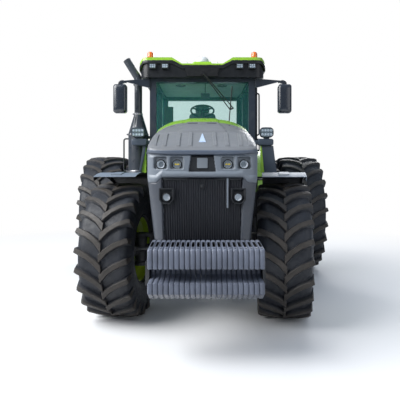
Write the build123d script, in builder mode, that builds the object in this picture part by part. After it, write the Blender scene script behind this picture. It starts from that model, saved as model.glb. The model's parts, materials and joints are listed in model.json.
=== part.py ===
"""A large four-wheel-drive farm tractor with rear dual wheels, a cab, a tilting hood and a stack of front weights.

Units are millimetres. +X is the tractor's left, -Y is forward, +Z is up. The origin is on the ground, midway
between the front weights' faces and the lower links' ends. The front wheels stand steered a few degrees to the right.
"""

import os
from math import atan2, cos, degrees, hypot, radians, sin, sqrt

from build123d import *

os.makedirs("parts", exist_ok=True)

# ---------------------------------------------------------------- driving dimensions
wheelbase = 3050
front_overhang = 1600          # front axle to the faces of the weights
rear_overhang = 1200           # rear axle to the ends of the lower links
front_axle_y = (front_overhang - wheelbase - rear_overhang) / 2
rear_axle_y = front_axle_y + wheelbase
seat_gap = 0.3                 # play between faces of pieces that are bolted or rest together
pin_play = 0.05                # play of a pin in its bore, on the radius

# wheels
front_radius = 800
front_tyre_width = 600
front_rim_radius = 385
rear_radius = 1030
rear_tyre_width = 700
rear_rim_radius = 540
inner_dual_x = 1000
outer_dual_x = 1765
lug_height = 48
rim_wall = 12
disc_wall = 16

# steering
kingpin_x = 750
kingpin_offset = 233           # kingpin to the middle of the front wheel
steer_rest = -8                # the front wheels' turn about +Z as parked
tie_arm = 300                  # kingpin to the tie rod's pin, straight ahead

# chassis
rail_inner = 190
rail_outer = 235
rail_low = front_radius + 160
rail_high = rail_low + 220
rail_front_y = front_axle_y - 1075
rail_rear_y = front_axle_y + 845
engine_half_width = 280
gearbox_half_width = 240
housing_half_width = 300       # the rear axle's housing
housing_front_y = rear_axle_y - 325
housing_rear_y = rear_axle_y + 325

# cab
cab_front_y = front_axle_y + 975
cab_rear_y = cab_front_y + 1630
b_pillar_y = cab_front_y + 970
b_pillar_depth = 80
cab_half_front = 755
cab_half_rear = 700
tub_half_rear = 600            # the cab's lower part between the rear wheels
fender_rise = 130              # rear tyre to the outside of its fender
floor_low = rail_high + 440
floor_high = floor_low + 60
sill_high = floor_high + 320   # lower edge of the windscreen
belt_low = 2 * rear_radius + fender_rise + 10
belt_high = belt_low + 60
cab_top = belt_high + 860
header_low = cab_top - 80      # upper edge of the windscreen and rear window
rail_bottom = cab_top - 60     # lower edge of the cab's side rails
pillar = 110
pillar_width = 90
wall = 60
glass = 8
roof_half = 900
roof_front_y = cab_front_y - 125
roof_rear_y = cab_rear_y + 130

# hood
hood_half = 570
hood_bottom = rail_high + 570
hood_wall = 18
hood_hinge_y = cab_front_y - 160
hood_hinge_z = hood_bottom + 570
hinge_pin_radius = 12
hinge_post_half = 22
mask_front_y = front_axle_y - 1005
mask_rear_y = mask_front_y + 180
mask_half = 565
mask_low = rail_low + 70
mask_top = hood_bottom + 145


# ---------------------------------------------------------------- helpers
def write(piece, label):
    """Labels a finished piece and writes its STEP file."""
    piece.label = label
    export_step(piece, f"parts/{label}.step")


def block(x, y, z, mode=Mode.ADD):
    """A box in the current builder between two values on each axis, in any order."""
    sizes = [abs(high - low) for low, high in (x, y, z)]
    with Locations((sum(x) / 2, sum(y) / 2, sum(z) / 2)):
        return Box(*sizes, mode=mode)


def sides(inner, outer):
    """The two x ranges of a pair of like pieces, left then right, as (side, (low, high))."""
    return [(1, (inner, outer)), (-1, (-outer, -inner))]


def rod(start, end, radius, mode=Mode.ADD):
    """A round bar in the current builder from one point to another."""
    line = Vector(*end) - Vector(*start)
    with BuildSketch(Plane(origin=start, z_dir=line)) as disc:
        Circle(radius)
    extrude(disc.sketch, amount=line.length, mode=mode)


def bent_tube(points, bend, radius):
    """A round tube in the current builder along straight runs with bends of one radius."""
    with BuildLine() as path:
        FilletPolyline(*points, radius=bend)
    with BuildSketch(Plane(origin=path.line @ 0, z_dir=path.line % 0)) as disc:
        Circle(radius)
    sweep(sections=disc.sketch, path=path.line)


def cross_plane(y):
    """The plane across the tractor at y, drawn with +X to the right and +Z up, facing forward."""
    return Plane(origin=(0, y, 0), x_dir=(1, 0, 0), z_dir=(0, -1, 0))


def side_plane(x):
    """The plane along the tractor at x, drawn with +Y to the right and +Z up, facing +X."""
    return Plane(origin=(x, 0, 0), x_dir=(0, 1, 0), z_dir=(1, 0, 0))


def plate(plane, points, thickness):
    """A flat plate in the current builder, cut to an outline on a plane."""
    with BuildSketch(plane) as outline:
        Polygon(*points, align=None)
    extrude(outline.sketch, amount=thickness)


def arc_plate(x, centre, radius, depth, start, sweep_angle):
    """A strip in the current builder bent to an arc about X: its outer radius, how deep it is and its angles."""
    low, high = x
    with BuildSketch(side_plane(low)) as strip:
        with BuildLine():
            outer = CenterArc(centre, radius, start, sweep_angle)
            inner = CenterArc(centre, radius - depth, start, sweep_angle)
            Line(outer @ 0, inner @ 0)
            Line(outer @ 1, inner @ 1)
        make_face()
    extrude(strip.sketch, amount=high - low)


def ring(profile):
    """A solid of revolution about X through the origin, from (x, radius) points."""
    with BuildPart() as turned:
        with BuildSketch(Plane.XZ):
            Polygon(*profile, align=None)
        revolve(axis=Axis.X)
    return turned.part


def bar_outline(points, width):
    """The outline of a bar of one width along a line of points, mitred at its bends and square at its ends."""
    runs = [(b[0] - a[0], b[1] - a[1]) for a, b in zip(points, points[1:])]
    normals = [(-dy / hypot(dx, dy), dx / hypot(dx, dy)) for dx, dy in runs]
    befores = [normals[0]] + normals
    afters = normals + [normals[-1]]
    one_side, other_side = [], []
    for (x, y), before, after in zip(points, befores, afters):
        share = width / 2 / (1 + before[0] * after[0] + before[1] * after[1])
        shift_x, shift_y = share * (before[0] + after[0]), share * (before[1] + after[1])
        one_side.append((x + shift_x, y + shift_y))
        other_side.append((x - shift_x, y - shift_y))
    return one_side + other_side[::-1]


# ---------------------------------------------------------------- wheels, drawn about X with the outer side at +X
lug_slope = 12                 # how much a lug grows in width to its foot


def make_lug(side, radius, width, foot_radius, lug_width, sweep_back):
    """One tread lug at the top of the tyre, from past the middle out to the shoulder, deeper than the tread."""
    half = 0.49 * width
    middle = half / 2
    line = [
        (side * -12 - side * middle, -sweep_back / 2 - 12), (side * (0.40 * half - middle), 0.08 * sweep_back),
        (side * (half - middle), sweep_back / 2),
    ]
    with BuildPart() as lug:
        with BuildSketch(Plane.XY.offset(foot_radius)) as foot:
            with Locations((side * middle, 0)):
                Polygon(*bar_outline(line, lug_width + 2 * lug_slope), align=None)
        with BuildSketch(Plane.XY.offset(radius + 20)) as crown:
            with Locations((side * middle, 0)):
                Polygon(*bar_outline(line, lug_width), align=None)
        loft([foot.sketch, crown.sketch], ruled=True)
    return lug.part


def make_tyre(radius, width, rim_radius, lug_count, lug_width, sweep_back):
    """A tyre with chevron lugs, lug_count on each side and staggered, trimmed to the rolled envelope of the tread."""
    tread = radius - lug_height
    height = tread - rim_radius
    flank = [
        # x, radius from the bead to the tread
        (0.40 * width, rim_radius), (0.485 * width, rim_radius + 0.28 * height), (0.50 * width, rim_radius + 0.52 * height),
        (0.48 * width, rim_radius + 0.86 * height), (0.40 * width, tread),
    ]
    envelope = [
        (0.50 * width, rim_radius), (0.50 * width, rim_radius + 0.74 * height), (0.485 * width, radius - 0.03 * radius),
        (0.20 * width, radius),
    ]
    with BuildPart() as tyre:
        add(ring(flank + [(-x, r) for x, r in flank[::-1]]))
        for side, phase in ((1, 0), (-1, 0.5)):
            lug = make_lug(side, radius, width, rim_radius + 0.70 * height, lug_width, sweep_back)
            turns = [Location((0, 0, 0), (-(place + phase) * 360 / lug_count, 0, 0)) for place in range(lug_count)]
            with Locations(*turns):
                add(lug)
        add(ring(envelope + [(-x, r) for x, r in envelope[::-1]]), mode=Mode.INTERSECT)
    return tyre.part


def make_rim(rim_radius, width, disc_x, bore, bolt_circle):
    """A drop-centre rim with a dished disc that bolts to a hub at disc_x."""
    edge = 0.40 * width - 1
    seat = rim_radius - seat_gap
    drop = seat - 45
    outer = [(-edge, seat), (-edge + 70, seat), (-edge + 120, drop), (edge - 120, drop), (edge - 70, seat), (edge, seat)]
    inner = [
        (edge, seat - rim_wall), (edge - 64, seat - rim_wall), (edge - 114, drop - rim_wall),
        (-edge + 114, drop - rim_wall), (-edge + 64, seat - rim_wall), (-edge, seat - rim_wall),
    ]
    joint = drop - rim_wall + 1
    dish = [
        (disc_x + 40, joint), (disc_x + 40 + disc_wall, joint), (disc_x + disc_wall, 0.62 * joint),
        (disc_x + disc_wall, bore), (disc_x, bore), (disc_x, 0.62 * joint),
    ]
    with BuildPart() as rim:
        add(ring(outer + inner))
        add(ring(dish))
        with BuildSketch(Plane.YZ.offset(disc_x - 1)):
            with PolarLocations(bolt_circle, 10):
                Circle(13)
        extrude(amount=disc_wall + 2, mode=Mode.SUBTRACT)
        with BuildSketch(Plane.YZ.offset(disc_x - 1)):
            with PolarLocations(0.80 * joint, 8, start_angle=22.5):
                SlotOverall(0.22 * joint, 0.13 * joint, rotation=90)
        extrude(amount=90, mode=Mode.SUBTRACT)
    return rim.part


def rim_bolt_circle(rim_radius):
    """The radius of the circle of wheel bolts of a rim."""
    return 0.50 * (rim_radius - seat_gap - 45 - rim_wall + 1)


front_disc_x = 60
front_hub_radius = 110
front_hub_face = 14
front_bolt_circle = rim_bolt_circle(front_rim_radius)
hub_steps = [
    # x, radius of the domed cover that comes through the disc
    (front_disc_x - seat_gap, front_hub_radius), (200, front_hub_radius), (218, 96), (230, 82), (235, 60), (235, 0),
]


def make_front_hub():
    """A planetary hub: a flange behind the disc and a domed cover that comes through it."""
    flange = front_bolt_circle + 30
    return ring([(front_hub_face, 0), (front_hub_face, flange), (front_disc_x - seat_gap, flange)] + hub_steps)


rear_shaft_radius = 58
trumpet_end_x = 620
rear_disc_x = 30
rear_bolt_circle = rim_bolt_circle(rear_rim_radius)


def make_rear_shaft():
    """One side's bar axle with the flanged hubs that carry both wheels, from the axle's middle outwards."""
    flange = rear_bolt_circle + 34
    outline = [(trumpet_end_x + seat_gap, 0), (trumpet_end_x + seat_gap, rear_shaft_radius)]
    for wheel_x in (inner_dual_x, outer_dual_x):
        face = wheel_x + rear_disc_x - seat_gap
        outline += [
            (face - 170, rear_shaft_radius), (face - 150, 118), (face - 45, 125), (face - 45, flange), (face, flange),
            (face, rear_shaft_radius),
        ]
    outline += [(outer_dual_x + 190, rear_shaft_radius), (outer_dual_x + 190, 0)]
    return ring(outline)


def front_wheel_place(side):
    """The place of a front wheel's middle, turned with the steering. side is +1 on the left, -1 on the right."""
    turn = Location((side * kingpin_x, front_axle_y, 0), (0, 0, steer_rest))
    return turn * Location((side * kingpin_offset, 0, front_radius))


half_turn = Location((0, 0, 0), (0, 0, 180))

front_tyre = make_tyre(front_radius, front_tyre_width, front_rim_radius, 22, 62, 190)
front_rim = make_rim(front_rim_radius, front_tyre_width, front_disc_x, front_hub_radius + 2, front_bolt_circle)
front_hub = make_front_hub()
rear_tyre = make_tyre(rear_radius, rear_tyre_width, rear_rim_radius, 24, 68, 225)
rear_rim = make_rim(rear_rim_radius, rear_tyre_width, rear_disc_x, rear_shaft_radius + 60, rear_bolt_circle)
rear_shaft = make_rear_shaft()

for side, name in ((1, "left"), (-1, "right")):
    facing = Location() if side > 0 else half_turn
    wheel = front_wheel_place(side)
    write(Part() + front_tyre.moved(wheel), f"front_tyre_{name}")
    write(Part() + front_rim.moved(wheel * facing), f"front_rim_{name}")
    write(Part() + front_hub.moved(wheel * facing), f"front_hub_{name}")
    spots = [Location((side * wheel_x, rear_axle_y, rear_radius)) for wheel_x in (inner_dual_x, outer_dual_x)]
    write(Compound(children=[rear_tyre.moved(spot) for spot in spots]), f"rear_tyres_{name}")
    write(Compound(children=[rear_rim.moved(spot * facing) for spot in spots]), f"rear_rims_{name}")
    axle = Location((0, rear_axle_y, rear_radius))
    write(Part() + rear_shaft.moved(axle * facing), f"rear_hub_{name}")


# ---------------------------------------------------------------- frame, weights and driveline
hook_front_y = front_axle_y - 1295
hook_rear_y = hook_front_y + 40
hook_high = rail_low + 25
hook_low = rail_low - 45
bar_low = rail_low - 200       # underside of the bar that the weights hang on
weight_front_y = front_axle_y - front_overhang
weight_rear_y = hook_rear_y + 50
weight_count = 22
weight_pitch = 46.7
weight_play = 0.8
weight_middle_x = 32.5         # the stack hangs a little to the left
weight_foot_y = weight_front_y + 125
recess_y = weight_front_y + 255
weight_profile = [
    # y, height above the rails' lower edge: face, top, hook, back, foot and the recess across the face
    (weight_front_y, -93), (weight_front_y, 70), (weight_front_y + 13, 83), (weight_rear_y, 110), (weight_rear_y, -45),
    (hook_rear_y, -45), (hook_rear_y, 25), (hook_front_y, 25), (hook_front_y, -360), (weight_foot_y, -378),
    (weight_front_y, -310), (weight_front_y, -214), (recess_y - 30, -208), (recess_y, -185), (recess_y, -110),
    (recess_y - 30, -93),
]
grip_width = 22
bracket_y = (weight_front_y + 165, rail_front_y)
drop_y = rail_front_y + 270    # where the rails drop down under the hood's mask
crossmember_z = rail_low + 20

with BuildPart() as front_frame:
    for side, (low, high) in sides(rail_inner, rail_outer):
        plate(side_plane(low), [
            (rail_front_y, rail_low - 60), (rail_front_y, rail_low + 55), (drop_y, rail_low + 55), (drop_y + 40, rail_high),
            (rail_rear_y, rail_high), (rail_rear_y, rail_low), (drop_y + 80, rail_low), (drop_y - 20, rail_low - 60),
        ], high - low)
        # posts that carry the hood's hinge
        block((low, high), (hood_hinge_y - hinge_post_half, hood_hinge_y + hinge_post_half), (rail_high - 1, hood_hinge_z))
        rod((low, hood_hinge_y, hood_hinge_z), (high, hood_hinge_y, hood_hinge_z), hinge_post_half)
    rod((-rail_outer - 22, hood_hinge_y, hood_hinge_z), (rail_outer + 22, hood_hinge_y, hood_hinge_z), hinge_pin_radius)
    block((-rail_inner, rail_inner), (hood_hinge_y - 15, hood_hinge_y + 15), (floor_high, floor_high + 60))
    block((-rail_inner, rail_inner), (rail_front_y, rail_front_y + 100), (rail_low - 60, rail_low + 55))
    block((-rail_inner, rail_inner), (front_axle_y - 155, front_axle_y + 125), (crossmember_z, crossmember_z + 46))
    block((-rail_outer, rail_outer), (rail_front_y, rail_front_y + 150), (bar_low, rail_low - 59))
    # the hooked bar that the weights hang on, and its end brackets
    stack_half = weight_count * weight_pitch / 2
    plate(side_plane(weight_middle_x - stack_half - 19), [
        (hook_front_y + seat_gap, bar_low), (hook_front_y + seat_gap, hook_high - seat_gap),
        (hook_rear_y - seat_gap, hook_high - seat_gap), (hook_rear_y - seat_gap, hook_low - seat_gap),
        (rail_front_y, hook_low - seat_gap), (rail_front_y, bar_low),
    ], 2 * stack_half + 38)
    for edge, thickness in ((weight_middle_x - stack_half, -36), (weight_middle_x + stack_half, 25)):
        block((edge, edge + thickness), bracket_y, (rail_low - 270, rail_low - 55))

with BuildPart() as weight_stack:
    for place in range(weight_count):
        left = weight_middle_x + (place - weight_count / 2) * weight_pitch + weight_play / 2
        plate(side_plane(left), [(y, rail_low + z) for y, z in weight_profile], weight_pitch - weight_play)
    # a grip pocket in the top of each plate
    with BuildSketch(Plane.XY.offset(rail_low + 40)) as grips:
        with Locations((weight_middle_x, weight_front_y + 180)):
            with GridLocations(weight_pitch, 1, weight_count, 1):
                SlotOverall(160, grip_width, rotation=90)
    extrude(grips.sketch, amount=80, mode=Mode.SUBTRACT)

engine_front_y = front_axle_y - 625
engine_top = rail_high + 780
with BuildPart() as engine_block:
    foot = rail_high + seat_gap
    block((-rail_inner + seat_gap, rail_inner - seat_gap), (engine_front_y, rail_rear_y), (crossmember_z + 50, foot))
    block((-engine_half_width, engine_half_width), (engine_front_y, hood_hinge_y - 60), (foot, engine_top))

with BuildPart() as radiator_pack:
    block((-400, 400), (engine_front_y - 140, engine_front_y - 10), (rail_high + seat_gap, engine_top - 100))
    for level in range(6):
        height = rail_high + 120 + level * 100
        block((-370, 370), (engine_front_y - 141, engine_front_y - 130), (height, height + 70), mode=Mode.SUBTRACT)

trumpet = [
    # x, radius of the housings round the rear half shafts
    (trumpet_end_x, 0), (trumpet_end_x, 165), (trumpet_end_x - 40, 165), (trumpet_end_x - 60, 145), (480, 150),
    (330, 235), (0, 235),
]
gearbox_front_y = rail_rear_y + seat_gap
with BuildPart() as transaxle:
    block((-gearbox_half_width, gearbox_half_width), (gearbox_front_y, housing_front_y), (rear_radius - 310, rear_radius + 300))
    chamfer(transaxle.edges().filter_by(Axis.Y), 60)
    block(
        (-housing_half_width, housing_half_width), (housing_front_y, housing_rear_y), (rear_radius - 340, rear_radius + 340),
    )
    add(ring(trumpet + [(-x, r) for x, r in trumpet[:-1][::-1]]).moved(Location((0, rear_axle_y, rear_radius))))

axle_z = front_radius
yoke_high = 150                # axle's middle to the inner faces of its ears
ear_thick = 44
ear_radius = 90
yoke_radius = 74
kingpin_radius = 28
pot_front_y = front_axle_y - 170
pot_rear_y = front_axle_y + 200
with BuildPart() as front_axle:
    beam_half = kingpin_x - 120
    with BuildSketch(Plane.YZ.offset(-beam_half)):
        with Locations((front_axle_y, axle_z)):
            RectangleRounded(110, 190, 30)
    extrude(amount=2 * beam_half)
    rod((0, pot_front_y + 40, axle_z), (0, pot_rear_y - 60, axle_z), 175)
    rod((0, pot_front_y, axle_z), (0, pot_rear_y, axle_z), 120)
    block((-60, 60), (front_axle_y - 60, front_axle_y + 60), (axle_z, crossmember_z - seat_gap))
    reach = yoke_high + ear_thick
    for side in (-1, 1):
        inner_x, pin_x = side * (kingpin_x - 150), side * kingpin_x
        depth = (front_axle_y - 52, front_axle_y + 52)
        block((inner_x, side * (kingpin_x - 110)), depth, (axle_z - reach, axle_z + reach))
        for base in (axle_z - reach, axle_z + yoke_high):
            block((inner_x, pin_x), depth, (base, base + ear_thick))
            rod((pin_x, front_axle_y, base), (pin_x, front_axle_y, base + ear_thick), ear_radius)
            rod(
                (pin_x, front_axle_y, base - 1), (pin_x, front_axle_y, base + ear_thick + 1), kingpin_radius + pin_play,
                mode=Mode.SUBTRACT,
            )

with BuildPart() as driveshaft:
    shaft_front_y, shaft_rear_y = pot_rear_y + seat_gap, gearbox_front_y - seat_gap
    rod((0, shaft_front_y, axle_z), (0, shaft_rear_y, axle_z), 42)
    rod((0, shaft_front_y, axle_z), (0, shaft_front_y + 40, axle_z), 80)
    rod((0, shaft_rear_y - 40, axle_z), (0, shaft_rear_y, axle_z), 80)

write(front_frame.part, "front_frame")
write(weight_stack.part, "front_weights")
write(engine_block.part, "engine_block")
write(radiator_pack.part, "radiator_pack")
write(transaxle.part, "transaxle")
write(front_axle.part, "front_axle")
write(driveshaft.part, "driveshaft")

# ---------------------------------------------------------------- steering knuckles, front fenders and tie rod
fender_radius = front_radius + 130
fender_wall = 8
fender_half = 255
fender_start = 40              # angle above the ground line behind the wheel
fender_end = 109.5
fender_lip = 55
pin_radius = 14                # of the tie rod's pins
arm_half = 20
post_x = -98                   # the fender's post stands just inside the tyre
post_width = 18
stay_half = 20


def make_knuckle(side):
    """A knuckle with its kingpin, spindle, steering arm and the post that carries the front fender, in steering axes."""
    stay_y = 250
    stay_top = axle_z + sqrt((fender_radius - fender_wall - seat_gap) ** 2 - (stay_y + stay_half) ** 2)
    outer_x = kingpin_offset + fender_half - 58
    with BuildPart() as knuckle:
        rod((0, 0, axle_z - yoke_high + 5), (0, 0, axle_z + yoke_high - 5), yoke_radius)
        rod((0, 0, axle_z - reach - 8), (0, 0, axle_z + reach + 8), kingpin_radius)
        rod((0, 0, axle_z), (side * (kingpin_offset + front_hub_face - seat_gap), 0, axle_z), 95)
        plate(Plane.XY.offset(axle_z - 40), [
            (side * -50, 20), (side * -50, 150), (side * post_x, 205), (side * post_x, 285),
            (side * (post_x + post_width), 285), (side * (post_x + post_width), 215), (side * -14, 140), (side * -14, 20),
        ], 80)
        block((side * post_x, side * (post_x + post_width)), (205, 285), (axle_z - 40, stay_top))
        block((side * post_x, side * outer_x), (stay_y - stay_half, stay_y + stay_half), (stay_top - 26, stay_top))
        with BuildSketch(Plane.XY.offset(axle_z - arm_half)) as arm:
            Polygon((-45, 0), (45, 0), (32, -tie_arm), (-32, -tie_arm), align=None)
            with Locations((0, -tie_arm)):
                Circle(34)
        extrude(arm.sketch, amount=2 * arm_half)
        rod((0, -tie_arm, axle_z), (0, -tie_arm, axle_z + 76), pin_radius)
    return knuckle.part


def make_front_fender(side):
    """A front fender curved round the tyre, with a turned-down outer lip and a rib along its middle."""
    middle = side * kingpin_offset
    centre = (0, axle_z)
    turn = fender_end - fender_start
    with BuildPart() as fender:
        arc_plate((middle - fender_half, middle + fender_half), centre, fender_radius, fender_wall, fender_start, turn)
        outer = middle + side * fender_half
        arc_plate(sorted((outer, outer - side * 10)), centre, fender_radius, fender_lip, fender_start, turn)
        arc_plate((middle - 60, middle + 60), centre, fender_radius + 7, 9, fender_start + 4, turn - 8)
    return fender.part


for side, name in ((1, "left"), (-1, "right")):
    turn = Location((side * kingpin_x, front_axle_y, 0), (0, 0, steer_rest))
    write(Part() + make_knuckle(side).moved(turn), f"knuckle_{name}")
    write(Part() + make_front_fender(side).moved(turn), f"front_fender_{name}")

pin_spot = Location((0, 0, 0), (0, 0, steer_rest)) * Location((0, -tie_arm, 0))
tie_y = front_axle_y + pin_spot.position.Y
tie_shift = pin_spot.position.X
eye_low = axle_z + arm_half + seat_gap
with BuildPart() as tie_rod:
    rod((tie_shift - kingpin_x, tie_y, axle_z + 48), (tie_shift + kingpin_x, tie_y, axle_z + 48), 19)
    for side in (-1, 1):
        eye_x = tie_shift + side * kingpin_x
        rod((eye_x, tie_y, eye_low), (eye_x, tie_y, axle_z + 72), 34)
        rod((eye_x, tie_y, eye_low - 1), (eye_x, tie_y, axle_z + 73), pin_radius + pin_play, mode=Mode.SUBTRACT)
write(tie_rod.part, "tie_rod")

# ---------------------------------------------------------------- tanks, steps and boxes below the cab
fender_front_y = rear_axle_y - rear_radius - fender_rise
box_front_y = cab_front_y + 40
box_rear_y = fender_front_y - 5
battery_half = 640
tank_low = floor_low - 980
tank_high = floor_low - 200
with BuildPart() as fuel_tank:
    plate(side_plane(-700), [
        (box_front_y, tank_low), (box_front_y, tank_high), (box_rear_y, tank_high), (box_rear_y, tank_low + 260),
        (box_rear_y - 140, tank_low),
    ], 700 - gearbox_half_width - seat_gap)
    fillet(fuel_tank.edges().filter_by(Axis.X), 40)
    rod((-560, box_front_y + 120, tank_high - 1), (-560, box_front_y + 120, tank_high + 30), 46)

with BuildPart() as battery_box:
    block((gearbox_half_width + seat_gap, battery_half), (box_front_y, box_rear_y), (tank_low + 120, tank_high - 20))
    fillet(battery_box.edges().filter_by(Axis.Z), 25)
    for level in (tank_low + 260, tank_low + 370, tank_low + 480):
        block((battery_half - 4, battery_half + 5), (box_front_y + 80, box_rear_y - 80), (level, level + 30), mode=Mode.SUBTRACT)

step_front_y = cab_front_y + 310
step_rear_y = fender_front_y - 45
cheek = 12
step_rows = [
    # x inner, x outer, height of the tread
    (930, 1130, 430), (870, 1070, 750), (800, 1000, 1070), (760, 940, 1400),
]
with BuildPart() as steps:
    for inner, outer, level in step_rows:
        block((inner, outer), (step_front_y, step_rear_y), (level, level + 8))
        block((outer - 8, outer), (step_front_y, step_rear_y), (level, level + 42))
        block((inner, inner + 8), (step_front_y, step_rear_y), (level, level + 42))
        for bar in range(5):
            bar_x = inner + 28 + bar * 33
            block((bar_x, bar_x + 8), (step_front_y, step_rear_y), (level + 7, level + 30))
    for face in (step_front_y - cheek, step_rear_y):
        plate(cross_plane(face + cheek), [
            (battery_half + seat_gap, 1330), (battery_half + seat_gap, 1440), (960, 1440), (1150, 420), (910, 420), (780, 1330),
        ], cheek)

write(fuel_tank.part, "fuel_tank")
write(battery_box.part, "battery_box")
write(steps.part, "steps")

# ---------------------------------------------------------------- cab
post_start_y = b_pillar_y + b_pillar_depth
with BuildPart() as cab_floor:
    # the tub: narrow between the rear wheels, wide ahead of them
    block((15 - cab_half_front, cab_half_front - 15), (box_front_y, b_pillar_y), (floor_low, floor_high))
    block((-tub_half_rear, tub_half_rear), (b_pillar_y, cab_rear_y), (floor_low, floor_high))
    for side in (-1, 1):
        inner_x = side * (tub_half_rear - wall)
        block((inner_x, side * tub_half_rear), (post_start_y, cab_rear_y), (floor_high, belt_low))
        block((inner_x, side * cab_half_rear), (post_start_y, cab_rear_y), (belt_low, belt_high))
    block((-tub_half_rear, tub_half_rear), (cab_rear_y - wall, cab_rear_y), (floor_high, belt_low))
    block((-cab_half_rear, cab_half_rear), (cab_rear_y - wall, cab_rear_y), (belt_low, belt_high))
    block((-gearbox_half_width, gearbox_half_width), (box_front_y, cab_rear_y - 180), (rear_radius + 300 + seat_gap, floor_low))

post_rows = [
    # x outer, y low, y high, z low
    (cab_half_front, cab_front_y, cab_front_y + pillar, floor_high),
    (cab_half_front, b_pillar_y, post_start_y, floor_high),
    (cab_half_rear, cab_rear_y - pillar, cab_rear_y, belt_high),
]
panel_top = floor_high + 170
door_low = floor_high + 60
door_high = cab_top - 70
door_hinge_x = cab_half_front + 45
door_hinge_y = post_start_y
hinge_levels = (door_low + 160, door_high - 160)
barrel_half = 30
barrel_radius = 12
door_pin_radius = 6
with BuildPart() as cab_frame:
    for outer, low, high, foot in post_rows:
        for side in (-1, 1):
            block((side * (outer - pillar_width), side * outer), (low, high), (foot, cab_top))
    block((-cab_half_front, cab_half_front), (cab_front_y, cab_front_y + 50), (floor_high, sill_high))
    block((-cab_half_front, cab_half_front), (cab_front_y, cab_front_y + pillar), (header_low, cab_top))
    block((-cab_half_rear, cab_half_rear), (cab_rear_y - 80, cab_rear_y), (header_low, cab_top))
    for side in (-1, 1):
        plate(Plane.XY.offset(rail_bottom), [
            (side * (cab_half_front - 80), cab_front_y + 60), (side * cab_half_front, cab_front_y + 60),
            (side * cab_half_front, b_pillar_y + 60), (side * cab_half_rear, cab_rear_y - 20),
            (side * (cab_half_rear - 80), cab_rear_y - 20), (side * (cab_half_front - 80), b_pillar_y + 60),
        ], cab_top - rail_bottom)
    # the fixed lower panel on the right
    block((-cab_half_front, -cab_half_front + 30), (cab_front_y + 20, b_pillar_y + 20), (floor_high, panel_top))
    # the door's hinge brackets with their pins
    for level in hinge_levels:
        base = level - barrel_half - seat_gap
        block((cab_half_front - 5, door_hinge_x + 12), (door_hinge_y - 12, door_hinge_y + 12), (base - 12, base))
        rod((door_hinge_x, door_hinge_y, base - 6), (door_hinge_x, door_hinge_y, level + barrel_half), door_pin_radius)

write(cab_floor.part, "cab_floor")
write(cab_frame.part, "cab_frame")

roof_low = cab_top + seat_gap
visor_low = cab_top - 34
roof_high = cab_top + 243
valley_high = cab_top + 156
visor_edge = cab_top + 85
roof_outline = [
    # x, z over the roof from right to left: two crowned shoulders with a valley between them
    (-roof_half, visor_edge), (-roof_half, cab_top + 180), (60 - roof_half, roof_high), (-430, roof_high),
    (-290, valley_high), (290, valley_high), (430, roof_high), (roof_half - 60, roof_high), (roof_half, cab_top + 180),
    (roof_half, visor_edge),
]
visor_outline = [
    (4 - roof_half, visor_edge), (62 - roof_half, cab_top + 165), (-424, cab_top + 165), (-284, cab_top + 95),
    (284, cab_top + 95), (424, cab_top + 165), (roof_half - 62, cab_top + 165), (roof_half - 4, visor_edge),
]


def trim_to_plan(inset):
    """Keeps of the current builder only what lies in the roof's plan with its round corners, drawn in by the inset."""
    with BuildSketch(Plane.XY.offset(visor_low - 50)) as plan:
        with Locations((0, (roof_front_y + roof_rear_y) / 2)):
            RectangleRounded(2 * (roof_half - inset), roof_rear_y - roof_front_y - 2 * inset, 150 - inset)
    extrude(plan.sketch, amount=roof_high - visor_low + 100, mode=Mode.INTERSECT)


with BuildPart() as roof_top:
    plate(cross_plane(roof_rear_y), roof_outline, roof_rear_y - roof_front_y)
    with BuildSketch(cross_plane(roof_rear_y + 1)) as below:
        Polygon(*visor_outline, (roof_half - 4, visor_low), (4 - roof_half, visor_low), align=None)
    extrude(below.sketch, amount=roof_rear_y - roof_front_y + 2, mode=Mode.SUBTRACT)
    trim_to_plan(0)

with BuildPart() as roof_visor:
    inset = 20
    under = [(x, z - seat_gap) for x, z in visor_outline]
    plate(
        cross_plane(roof_rear_y), under + [(roof_half - inset, roof_low), (inset - roof_half, roof_low)],
        roof_rear_y - roof_front_y,
    )
    for low, high in ((roof_front_y, cab_front_y - seat_gap), (cab_rear_y + seat_gap, roof_rear_y)):
        block((inset - roof_half, roof_half - inset), (low, high), (visor_low, roof_low + 20))
    trim_to_plan(inset)

write(roof_top.part, "roof_top")
write(roof_visor.part, "roof_visor")

with BuildPart() as cab_glass:
    edge = pillar_width + seat_gap
    screen_y = cab_front_y + 10
    window_y = cab_rear_y - 30
    block(
        (edge - cab_half_front, cab_half_front - edge), (screen_y, screen_y + glass),
        (sill_high + seat_gap, header_low - seat_gap),
    )
    block(
        (edge - cab_half_rear, cab_half_rear - edge), (window_y, window_y + glass),
        (belt_high + seat_gap, header_low - seat_gap),
    )
    block(
        (20 - cab_half_front, 20 + glass - cab_half_front), (cab_front_y + pillar + seat_gap, b_pillar_y - seat_gap),
        (panel_top + seat_gap, rail_bottom - seat_gap),
    )
    for side in (-1, 1):
        front, rear = side * (cab_half_front - 20), side * (cab_half_rear - 20)
        start_y, end_y = post_start_y + seat_gap, cab_rear_y - pillar - seat_gap
        plate(
            Plane.XY.offset(belt_high + seat_gap),
            [(front, start_y), (rear, end_y), (rear - side * glass, end_y), (front - side * glass, start_y)],
            rail_bottom - belt_high - 2 * seat_gap,
        )
write(cab_glass.part, "cab_glass")

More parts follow.
